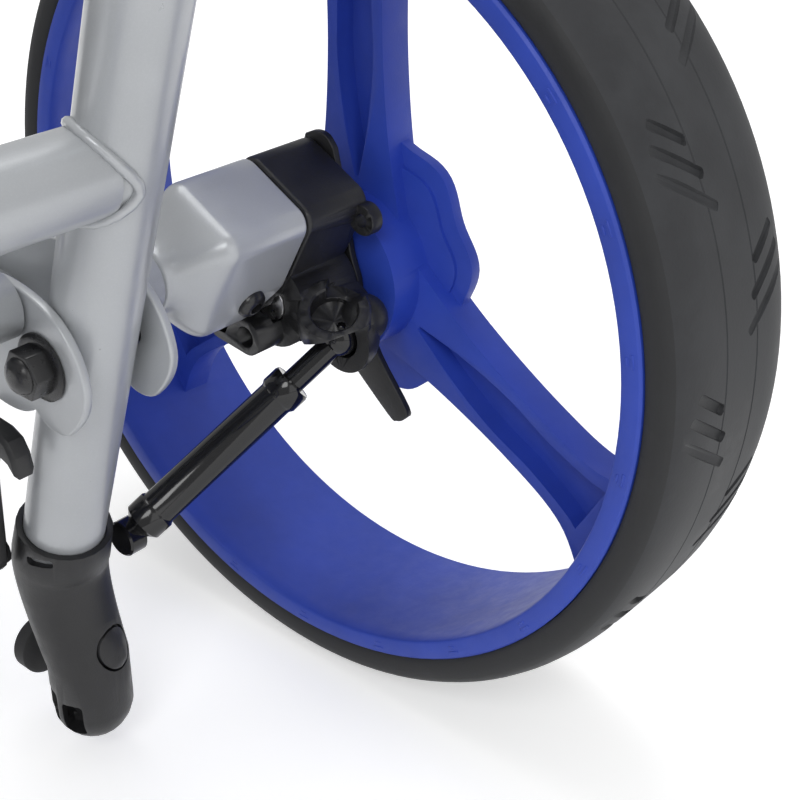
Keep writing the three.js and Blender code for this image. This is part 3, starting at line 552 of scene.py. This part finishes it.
def rail():
    path = bentRun([onFrame(railX, -85.5), onFrame(railX, 350), onFrame(tubes["neck"] * mm, 460), onFrame(tubes["neck"] * mm, 540)],
                   tubes["bend"] * mm, 14)
    return smoothed(tubePiece(path, tubes["rail"] * mm, 56), 50)


def weldBead(along, radius, side):  # follows the line where a cross tube meets a rail
    look = {"count": 120, "thick": 1.5, "ripple": 0.04, "ripples": 26}
    path, swell = [], []
    for k in range(look["count"]):
        a = k / look["count"] * 2 * math.pi
        out, up = (radius + 0.5) * math.cos(a), (radius + 0.5) * math.sin(a)
        reach = math.sqrt(max((tubes["rail"] + 0.4) ** 2 - out ** 2, 0))
        path.append(onFrame(side * (railX - reach * mm), along + up, out))
        swell.append(1 + look["ripple"] * math.sin(a * look["ripples"]) + 0.08 * math.sin(3 * a + along))
    return smoothed(tubePiece(path, look["thick"] * mm, 20, True, swell), 60)


def crossTube(node, along, radius):
    reach = railX - 8 * mm
    tube = smoothed(tubePiece([onFrame(-reach, along), onFrame(reach, along)], radius * mm, 56), 50)
    whole = joined([tube, weldBead(along, radius, 1), weldBead(along, radius, -1)])
    finished(whole, node + "_made", "upper_frame", finishes["frame_paint"], [node])
    made.add(node)


right = rail()
pairOf(right, "rail", ("upper_frame", "upper_frame"), finishes["frame_paint"], Matrix.Identity(4))
crossTube("cross_tube", tubes["crossUp"], tubes["cross"])
crossTube("upper_cross_tube", tubes["upperUp"], tubes["upper"])
print("tubes made")

# ---------- housing, block and lever, drawn in the wheel's frame ----------

def pointing(start, direction):  # carries a piece turned about X to start, its axis along direction
    turn = Vector((1, 0, 0)).rotation_difference(Vector(direction).normalized()).to_matrix().to_4x4()
    return Matrix.Translation(Vector(start) * mm) @ turn


def lathed(profile, start=(0, 0, 0), direction=(1, 0, 0), steps=48):  # profile (radius, distance) without its axis points
    eye = 0.02
    closed = [(eye, profile[0][1])] + profile + [(eye, profile[-1][1])]
    ring = spunRing(closed, steps)
    return turnedBy(ring, pointing(start, direction))


blockShape = {"centre": (3, 23), "wide": 32.6, "tall": 42, "corner": 6, "tilt": 28.5, "start": -49, "end": -10, "soft": 2.6, "shoulder": -38, "neck": -56}
tiltAngle = math.radians(blockShape["tilt"])
rearWay = Vector((0, -math.cos(tiltAngle), -math.sin(tiltAngle)))
upWay = Vector((0, -math.sin(tiltAngle), math.cos(tiltAngle)))
blockMiddle = Vector((0, *blockShape["centre"]))


def onBlock(x, up, rear):  # a point from the block's own middle line
    return Vector((x, 0, 0)) + blockMiddle + upWay * up + rearWay * rear


def blockPrism(start, end, grow=0.0):
    look = blockShape
    return prism(roundCorners(look["wide"] + grow, look["tall"] + grow, look["corner"], look["centre"], look["tilt"], 8), start, end)


def scoopTool(shift=0.0):  # what lies outboard of the curve where the white block ends
    curve = easedThrough([(-36, -24), (-27, -19), (-17.5, -13), (-11.4, -7), (-9.9, 0), (-9.8, 12), (-9.8, 24)], 6)
    outline = [(x + shift, v) for x, v in curve] + [(2, 24), (2, -24)]
    tool = prism(outline, -4, 34)
    across = Matrix((rearWay, Vector((1, 0, 0)), upWay)).transposed().to_4x4()
    return turnedBy(tool, Matrix.Translation(blockMiddle * mm) @ across)


def blended(first, second, runs):  # two matching (y, z) outlines joined through (x, share) pairs
    loops = [loopPiece([(x, a[0] + (b[0] - a[0]) * share, a[1] + (b[1] - a[1]) * share) for a, b in zip(first, second)])
             for x, share in runs]
    piece = joined(loops)
    editAll(piece)
    bpy.ops.mesh.bridge_edge_loops()
    bpy.ops.mesh.select_all(action='SELECT')
    bpy.ops.mesh.fill_holes(sides=0)
    endEdit()
    return tidied(piece)


def armBlock():
    look = blockShape
    corners = roundCorners(look["wide"], look["tall"], look["corner"], look["centre"], look["tilt"], 8)
    outline = []
    for (y, z), (nextY, nextZ) in zip(corners, corners[1:] + corners[:1]):  # points along the straight sides too
        pieces = max(1, round(math.hypot(nextY - y, nextZ - z) / 1.5))
        outline += [(y + (nextY - y) * k / pieces, z + (nextZ - z) * k / pieces) for k in range(pieces)]
    ring = []
    for y, z in outline:
        turn = math.atan2(z - 22.5, y - 4)
        ring.append((4 + 10.7 * math.cos(turn), 22.5 + 10.7 * math.sin(turn)))
    runs = [(look["end"] - 0.2, 0.0)]
    for k in range(13):
        t = k / 12
        runs.append((look["shoulder"] + (look["neck"] - look["shoulder"]) * t, t * t * (3 - 2 * t)))
    body = blended(outline, ring, runs)
    rounded(body, look["soft"] * mm, 4, 50)
    combined(body, scoopTool(), 'DIFFERENCE')
    tidied(body, 5e-6)
    rounded(body, 0.45 * mm, 2, 45)
    return smoothed(body, 45)


screwPlace = onBlock(-24, -9, blockShape["wide"] / 2)


def blockScrew():
    head = lathed([(4.9, -0.6), (4.9, 0.5), (4.5, 1.5), (3.6, 2.3), (2.4, 2.7), (2.1, 2.7), (2.1, 1.2)], screwPlace, rearWay, 40)
    return smoothed(head, 35)


socket = Vector((3, -19.3, -10.2))
housingShape = {"start": -9.7, "end": 16.5, "cup": 12.3, "room": 7.2, "lugRadius": 5.2, "ledge": 15.5}


def housing():
    look = housingShape
    body = blockPrism(look["start"], look["end"])
    rounded(body, 1.6 * mm, 3, 50)
    under = blockPrism(-35, look["start"] + 1, -1.0)
    combined(under, scoopTool(0.4), 'INTERSECT')
    combined(body, under)
    combined(body, lathed([(15, 0), (15, 24.5), (14, 25.5)], (-9, 0, 0)))  # boss for the axle
    lug = lathed([(4.8, 0), (look["lugRadius"], 0.6), (look["lugRadius"], 4.4), (4.8, 4.8)], (11.4, -20.5, 27))
    combined(body, lug)
    slot = prism(roundCorners(9, 8, 1, (-19, 9), blockShape["tilt"]), -5.5, 13.5)  # deep slot under the ledge
    combined(body, slot, 'DIFFERENCE')
    shallow = prism(roundCorners(3, 11, 0.8, (-16.3, 17.5), blockShape["tilt"]), -8, 4)
    combined(body, shallow, 'DIFFERENCE')
    web = prism(roundCorners(27, 17, 6, (socket.y + 12, socket.z + 8), 28), -5, look["end"] - 1)
    combined(body, web)
    under_ = onBlock(0, -12, look["ledge"])
    slit = prism(roundCorners(9, 1.8, 0.5, (under_.y, under_.z), blockShape["tilt"]), 3, 14.5)
    combined(body, slit, 'DIFFERENCE')
    clearSelection()
    bpy.ops.mesh.primitive_uv_sphere_add(segments=40, ring_count=24, radius=look["cup"] * mm, location=socket * mm)
    dome = bpy.context.object
    bpy.ops.object.transform_apply(location=True)
    combined(body, dome)
    hookAt, hookWay = Vector((-1.5, -20.5, -2.0)), Vector((-0.42, -0.40, 0.81))
    hook = lathed([(7.2, -6), (11.0, -6), (11.6, -4.5), (11.6, 5.0), (10.8, 6), (8.0, 6), (7.2, 5.2)], hookAt, hookWay, 56)
    combined(body, hook)
    hollow = lathed([(7.4, -2.0), (7.4, 14)], hookAt, hookWay, 44)
    combined(body, hollow, 'DIFFERENCE')
    gap = lathed([(6.5, 0.5), (6.5, 14)], hookAt + Vector((7.5, 1.5, 4.5)), hookWay, 32)
    combined(body, gap, 'DIFFERENCE')
    clearSelection()
    bpy.ops.mesh.primitive_uv_sphere_add(segments=36, ring_count=22, radius=8.0 * mm, location=Vector((9.4, -22.8, -4.9)) * mm)
    knee = bpy.context.object
    bpy.ops.object.transform_apply(location=True)
    combined(body, knee)
    clearSelection()
    bpy.ops.mesh.primitive_uv_sphere_add(segments=32, ring_count=20, radius=look["room"] * mm, location=socket * mm)
    room = bpy.context.object
    bpy.ops.object.transform_apply(location=True)
    combined(body, room, 'DIFFERENCE')
    # the mouth: everything inboard of the ball's middle and below it, where the strut swings
    mouth = prism([(-24, 2.4), (24, 2.4), (24, -24), (-24, -24)], -26, -0.5)
    tip = Matrix.Rotation(-math.atan2(0.42, 0.91), 4, 'X')
    turnedBy(mouth, Matrix.Translation(socket * mm) @ tip)
    combined(body, mouth, 'DIFFERENCE')
    tongue = prism(roundCorners(24, 12, 5.6, (7, -8), 8), -19.5, -5)
    combined(body, tongue)
    for y, z, sides in ((1.4, -8.8, 24), (12.6, -7.2, 6)):
        cell = prism([(y + 3.6 * math.cos(2 * math.pi * k / sides), z + 3.6 * math.sin(2 * math.pi * k / sides))
                      for k in range(sides)], -21, -11)
        combined(body, cell, 'DIFFERENCE')
    hole = prism([(-20.5 + 2.3 * math.cos(k * math.pi / 12), 27 + 2.3 * math.sin(k * math.pi / 12)) for k in range(24)], 3, 18)
    combined(body, hole, 'DIFFERENCE')
    bore = prism([(6.4 * math.cos(k * math.pi / 24), 6.4 * math.sin(k * math.pi / 24)) for k in range(48)], -12, 19)
    combined(body, bore, 'DIFFERENCE')
    tidied(body, 6e-6)
    rounded(body, 0.5 * mm, 2, 45)
    return smoothed(body, 42)


leverShape = {"start": 17.0, "thick": 2.5}


def brakeLever():
    outline = easedThrough([(-4, 45), (-1, 48.4), (3, 49.3), (7, 48), (9, 45), (12, 26), (14, 9), (11, -5), (4, -15), (-6, -24.5), (-26, -42),
                            (-30, -43.4), (-33.4, -41.4), (-34, -37.4), (-22, -21.5), (-15, -6), (-13.6, 3), (-10.5, 12), (-8, 28)], 4)
    blade = prism(outline, leverShape["start"], leverShape["start"] + leverShape["thick"])
    hole = prism([(6.7 * math.cos(k * math.pi / 24), 6.7 * math.sin(k * math.pi / 24)) for k in range(48)], 15, 22)
    combined(blade, hole, 'DIFFERENCE')
    rounded(blade, 0.9 * mm, 3, 50)
    return smoothed(blade, 40)


wheelSide = ("lower_frame", "lower_frame")
pairOf(armBlock(), "arm_block", wheelSide, finishes["frame_paint"])
pairOf(blockScrew(), "block_screw", wheelSide, finishes["black_steel"])
pairOf(housing(), "wheel_housing", wheelSide, finishes["black_plastic"])
pairOf(brakeLever(), "brake_lever", ("brake_right", "brake_left"), finishes["black_plastic"])
arm = lathed([(10, 0), (10, 15.8)], (-64, 4, 22.5), (1, 0, 0), 56)
pairOf(smoothed(arm, 50), "wheel_arm", wheelSide, finishes["frame_paint"])
print("housings made")

# ---------- strut ----------

strutEnd = Vector((-61, 17, -70))
strutShape = {"rod": 4.0, "tube": 6.2, "lip": 7.0, "from": 22, "stop": 6}


def strutPieces():
    look = strutShape
    way = (strutEnd - socket)
    length = way.length
    a, b = look["from"], length - look["stop"]
    rod = lathed([(2, -6.1), (4.3, -4.5), (5.9, -2), (6.2, 0), (5.9, 2), (5.0, 3.9), (4.1, 4.8), (look["rod"], 6), (look["rod"], a + 6)],
                 socket, way, 40)
    t, lip = look["tube"], look["lip"]
    sleeve = lathed([(5.0, a - 0.5), (6.0, a - 0.5), (lip - 0.4, a - 0.6), (lip, a + 0.4), (lip, a + 5.6), (lip - 0.5, a + 6.4), (t, a + 7),
                     (t, b - 8), (lip - 0.5, b - 7.4), (lip, b - 6.6), (lip, b - 0.8), (lip - 0.8, b), (5.6, b + 0.6), (4.4, b + 1.4),
                     (look["rod"], b + 2.2), (look["rod"], length - 4)], socket, way, 56)
    eye = lathed([(5.4, -3.4), (6.1, -2.8), (6.1, 2.8), (5.4, 3.4)], strutEnd, (1, 0, 0), 40)
    combined(sleeve, eye)
    return smoothed(rod, 40), smoothed(sleeve, 38)


rodPiece, sleevePiece = strutPieces()
struts = ("strut_right", "strut_left")
pairOf(rodPiece, "strut_rod", struts, finishes["gloss_black"])
pairOf(sleevePiece, "strut_sleeve", struts, finishes["gloss_black"])
print("struts made")

# ---------- leg plates and bolts ----------

plateShape = {"outer": -67.4, "inner": -97.6, "thick": 3.0, "edge": 0.7}


def quadratic(start, control, end, steps=8):
    return [tuple(Vector(start) * (1 - t) ** 2 + Vector(control) * 2 * t * (1 - t) + Vector(end) * t * t)
            for t in (k / steps for k in range(steps))]


def plateOutline():
    out = quadratic((-10, 29), (0, 35), (14, 35)) + [(14, 35), (36, 31.4)]
    out += quadratic((60, 27), (98, 22), (100, 8)) + quadratic((100, 8), (98, -6), (84, -7)) + [(84, -7), (50, -6.5)]
    out += quadratic((22, -6), (10, -8), (4, -3)) + quadratic((4, -3), (-3, -10), (-11, -6))
    return out + quadratic((-11, -6), (-22, 4), (-20, 13)) + quadratic((-20, 13), (-18, 23), (-10, 29))


def legPlate(start):
    plate = prism(plateOutline(), start, start + plateShape["thick"])
    for y, z, radius in ((-3, 13, 4.3), (76, 9, 3.3)):
        hole = prism([(y + radius * math.cos(k * math.pi / 16), z + radius * math.sin(k * math.pi / 16)) for k in range(32)],
                     start - 2, start + 6)
        combined(plate, hole, 'DIFFERENCE')
    rounded(plate, plateShape["edge"] * mm, 3, 50)
    return smoothed(plate, 40)


def boltPiece(y, z, radius, head):  # domed cap nut on a hex flange inboard
    start, end = plateShape["inner"], plateShape["outer"] + plateShape["thick"]
    r = radius
    shank = lathed([(r, -0.2), (r, end - start + (0.3 if head else 0))], (start, y, z), (1, 0, 0), 32)
    flange = lathed([(r * 2.3, -1.6), (r * 2.5, -1.1), (r * 2.5, -0.4), (r * 2.3, -0.3)], (start, y, z), (1, 0, 0), 40)
    hexes = prism([(y + r * 1.9 * math.cos(k * math.pi / 3), z + r * 1.9 * math.sin(k * math.pi / 3)) for k in range(6)],
                  start - r * 1.9, start - 1)
    rounded(hexes, 0.5 * mm, 2, 30)
    dome = lathed([(r * 0.5, -r * 2.62), (r * 1.0, -r * 2.45), (r * 1.32, -r * 2.1), (r * 1.45, -r * 1.6), (r * 1.45, -r * 1.2)],
                  (start, y, z), (1, 0, 0), 36)
    for piece in (flange, hexes, dome):
        combined(shank, piece)
    if head:
        combined(shank, lathed([(r * 1.8, 0.1), (r * 1.8, 0.6), (r * 1.5, r * 0.7), (r * 0.8, r * 0.98)], (end, y, z), (1, 0, 0), 36))
    return smoothed(shank, 35)


pairOf(legPlate(plateShape["outer"]), "leg_plate_outer", wheelSide, finishes["frame_paint"])
pairOf(legPlate(plateShape["inner"]), "leg_plate_inner", wheelSide, finishes["frame_paint"])
pairOf(boltPiece(-3, 13, 4, False), "fold_bolt", wheelSide, finishes["black_steel"])
pairOf(boltPiece(76, 9, 3, True), "leg_bolt", wheelSide, finishes["black_steel"])
print("plates and bolts made")

# ---------- foot and stop -----------------

footShape = {"collar": 15.0, "lower": 13.4, "bottom": -136, "cap": 6.6}


def foot():
    look = footShape
    top = onFrame(railX, -74) - Vector((0, wheelAxis.y, wheelAxis.z))
    low = onFrame(railX, -86) - Vector((0, wheelAxis.y, wheelAxis.z))
    heel = Vector((railX, 17.8 * mm, -107 * mm))
    end = Vector((railX, 20 * mm, look["bottom"] * mm))
    line = [top, low] + [low * (1 - t) ** 2 + (low + (low - top).normalized() * 11 * mm) * 2 * t * (1 - t) + heel * t * t
                         for t in (k / 12 for k in range(1, 13))]
    round_ = look["lower"] * mm
    swell = [1.0, 1.03] + [1.03 + (look["lower"] / look["collar"] - 1.03) * (k / 12) for k in range(1, 13)]
    for k in range(1, 13):  # rounded lower end
        a = k / 12 * math.pi / 2 * 0.97
        line.append(Vector((railX, heel.y + (end.y - heel.y) * k / 12, end.z + round_ - round_ * math.sin(a))))
        swell.append(look["lower"] / look["collar"] * max(math.cos(a), 0.05) ** 0.75)
    boot = tubePiece(line, look["collar"] * mm, 48, False, swell)
    x, y = 145, 19.5
    bore = tubePiece([onFrame(railX, -86) - Vector((0, wheelAxis.y, wheelAxis.z)), onFrame(railX, -60) - Vector((0, wheelAxis.y, wheelAxis.z))],
                     12.95 * mm, 48)
    combined(boot, bore, 'DIFFERENCE')
    for turn, height, tall in ((166, -121.5, 12), (208, -124.5, 13)):  # two pockets in the lower end
        pocket = prism(roundCorners(7.4, tall, 1.6, (0, height)), 6, 20)
        turnedBy(pocket, Matrix.Translation((x * mm, y * mm, 0)) @ Matrix.Rotation(math.radians(turn), 4, 'Z'))
        combined(boot, pocket, 'DIFFERENCE')
    groove = spunRing([(look["cap"], 0), (look["cap"] + 0.9, 0), (look["cap"] + 0.9, 7), (look["cap"], 7)], 48)
    turnedBy(groove, pointing((x + 2.6, 10.6, -100.5), (0.28, -0.96, 0)))
    combined(boot, groove, 'DIFFERENCE')
    slit = prism(roundCorners(9, 3, 1, (0, 0)), 9, 20)
    turnedBy(slit, Matrix.Translation(onFrame(railX, -80) - Vector((0, wheelAxis.y, wheelAxis.z))) @ Matrix.Rotation(math.radians(204), 4, 'Z'))
    combined(boot, slit, 'DIFFERENCE')
    tidied(boot, 5e-6)
    rounded(boot, 0.4 * mm, 2, 50)
    return smoothed(boot, 45)


upperPair = ("upper_frame", "upper_frame")
wheelLevel = Matrix.Translation((0, wheelAxis.y, wheelAxis.z))
pairOf(foot(), "foot", upperPair, finishes["black_plastic"], wheelLevel)
stopDisc = lathed([(8.6, 0), (10, 1), (10, 6), (8.8, 7), (6, 7), (5.4, 6.2)], (145, 39.9, -115), (0, 1, 0), 48)
pairOf(smoothed(stopDisc, 40), "foot_stop", upperPair, finishes["soft_rubber"], wheelLevel)
print("feet made")

# ---------- legs, beam, handle and hub caps ----------------

def span(node, half, y, z, radius, body="lower_frame"):  # a round bar across the cart
    bar = lathed([(radius - 0.4, -half), (radius, -half + 0.4), (radius, half - 0.4), (radius - 0.4, half)], (0, y, z), (1, 0, 0), 56)
    turnedBy(bar, wheelLevel)
    finished(smoothed(bar, 50), node + "_made", body, finishes["frame_paint"], [node])
    made.add(node)


def frontLeg():
    points = [Vector(p) * mm for p in ((145, 46, 9), (145, 130, 9), (51, 270, 4), (51, 416, -19))]
    leg = tubePiece(bentRun(points, 30 * mm, 14), 12.5 * mm, 48)
    lug = prism(roundCorners(64, 28, 13, (424, -21), -14, 10), 46.5, 55.5)
    rounded(lug, 1.6 * mm, 3, 50)
    combined(leg, lug)
    for x0, x1, y, z, radius in ((125, 165, 76, 9, 3.3), (30, 70, 440, -25, 6.4)):
        hole = prism([(y + radius * math.cos(k * math.pi / 16), z + radius * math.sin(k * math.pi / 16)) for k in range(32)], x0, x1)
        combined(leg, hole, 'DIFFERENCE')
    rounded(leg, 0.6 * mm, 2, 50)
    return smoothed(leg, 45)


span("axle_beam", 128.1, 11, 28, 10)
span("leg_bridge", 38.2, 302, -1, 9)
pairOf(frontLeg(), "front_leg", wheelSide, finishes["frame_paint"], wheelLevel)
cap = lathed([(5, 62.1), (12, 61.9), (17, 61.3), (21.5, 60), (25, 57.3), (26.3, 54), (26.5, 52.4), (25.5, 52.4), (23, 54), (19, 57.5), (5, 58.6)],
             (0, 0, 0), (1, 0, 0), 72)
pairOf(smoothed(cap, 40), "hub_cap", ("wheel_right", "wheel_left"), finishes["black_plastic"])

handleShape = {"up": 904, "rise": 15, "ring": 78, "neck": 52, "tube": 10.5, "grip": 14.5, "ribs": 9, "ribDeep": 0.045}


def handlePieces():
    look = handleShape
    place = Matrix.Translation(onFrame(0, look["up"])) @ Matrix.Rotation(math.radians(-look["rise"]), 4, 'X')
    middle = -look["neck"] - look["ring"]
    clearSelection()
    bpy.ops.mesh.primitive_torus_add(major_radius=look["ring"] * mm, minor_radius=look["tube"] * mm, major_segments=120, minor_segments=28,
                                     location=(0, middle * mm, 0))
    ring = bpy.context.object
    bpy.ops.object.transform_apply(location=True)
    combined(ring, lathed([(look["tube"], 0), (look["tube"], look["neck"])], (0, -look["neck"] - 4, 0), (0, 1, 0), 40))
    combined(ring, lathed([(11, -11), (12, -10), (12, 10), (11, 11)], (0, 0, 0), (1, 0, 0), 40))
    combined(ring, lathed([(3.3, -17.5), (3.3, 17.5)], (0, 0, 0), (1, 0, 0), 28))
    turnedBy(smoothed(ring, 40), place)
    path, swell = [], []
    step = 2 * math.pi / 28
    count = 96
    for i in range(count + 1):
        share = i / count
        angle = -math.pi / 2 + (share - 0.5) * 12 * step
        path.append(Vector((look["ring"] * math.cos(angle), look["ring"] * math.sin(angle) + middle, 0)) * mm)
        end = min(share, 1 - share) * 30
        swell.append(min(0.86 + 0.14 * end, 1) * (1 - look["ribDeep"] * (0.5 + 0.5 * math.cos(share * look["ribs"] * 2 * math.pi))))
    grip = tubePiece(path, look["grip"] * mm, 40, False, swell)
    return ring, turnedBy(smoothed(grip, 50), place)


loop, grip = handlePieces()
finished(loop, "handle_loop_made", "handle", finishes["frame_paint"], ["handle_loop"])
finished(grip, "handle_grip_made", "handle", finishes["soft_rubber"], ["handle_grip"])
made.update(("handle_loop", "handle_grip"))
print("legs and handle made")

# ---------- every other node: a merged, softened copy ----------

softening = {"wide": 0.7 * mm, "angle": 34}


def softenedNode(name):
    copy = carried(name)
    rounded(copy, softening["wide"], 2, 40)
    smoothed(copy, softening["angle"])
    return finished(copy, name + "_made", bodyOfNode[name], finishes[slotOfNode[name]], [name])


for name in sorted(frame["nodes"]):
    if name not in made:
        softenedNode(name)
print("softened pieces", len(frame["nodes"]) - len(made))


# ---------- floor, light and camera ----------

def studio():
    look = {"floor": 6.0, "gap": 0.0006, "lift": 0.42}
    clearSelection()
    bpy.ops.mesh.primitive_plane_add(size=look["floor"], location=(0, 0, -look["gap"]))
    floor = bpy.context.object
    floor.name = "floor"
    g = Graph("paleFloor")
    rays = g.tree.nodes.new("ShaderNodeLightPath")
    seen = g.node("ShaderNodeMath", {0: rays.outputs["Is Camera Ray"], 1: rays.outputs["Is Glossy Ray"]}, operation='MAXIMUM')
    lift = g.node("ShaderNodeMath", {0: seen.outputs[0], 1: look["lift"]}, operation='MULTIPLY').outputs[0]
    g.wire(Base_Color=(0.9, 0.9, 0.9, 1), Roughness=0.9, Emission_Color=(1, 1, 1, 1), Emission_Strength=lift)
    floor.data.materials.append(g.material)
    world = bpy.data.worlds.new("studio")
    scene.world = world
    world.use_nodes = True
    tree = world.node_tree
    back = tree.nodes["Background"]
    back.inputs["Color"].default_value = (1, 1, 1, 1)
    rays = tree.nodes.new("ShaderNodeLightPath")
    level = tree.nodes.new("ShaderNodeMapRange")
    level.inputs["To Min"].default_value = 0.55
    level.inputs["To Max"].default_value = 1.0
    tree.links.new(rays.outputs["Is Camera Ray"], level.inputs["Value"])
    tree.links.new(level.outputs["Result"], back.inputs["Strength"])
    lamps = [("key", (-1.9, -1.4, 2.4), 1.3, 30), ("fill", (-0.4, -2.6, 1.0), 1.8, 9), ("top", (0.6, 0.4, 2.8), 1.6, 22)]
    for name, where, size, power in lamps:
        bpy.ops.object.light_add(type='AREA', location=where)
        lamp = bpy.context.object
        lamp.name = name
        lamp.data.size = size
        lamp.data.energy = power
        aim = Vector((0.15, -0.03, 0.12)) - Vector(where)
        lamp.rotation_euler = aim.to_track_quat('-Z', 'Y').to_euler()


def camera():
    look = {"lens": 65.25, "turn": (61.1, 0.0, -48.95), "from": (-0.29733, -0.30547, 0.19543)}
    bpy.ops.object.camera_add()
    eye = bpy.context.object
    eye.data.sensor_width = 36
    eye.data.lens = look["lens"]
    eye.location = Vector((wheelFace, wheelAxis.y, wheelAxis.z)) + Vector(look["from"])
    eye.rotation_euler = [math.radians(a) for a in look["turn"]]
    eye.data.clip_start = 0.01
    scene.camera = eye


studio()
camera()
scene.view_settings.view_transform = 'Standard'
print("studio and camera set")
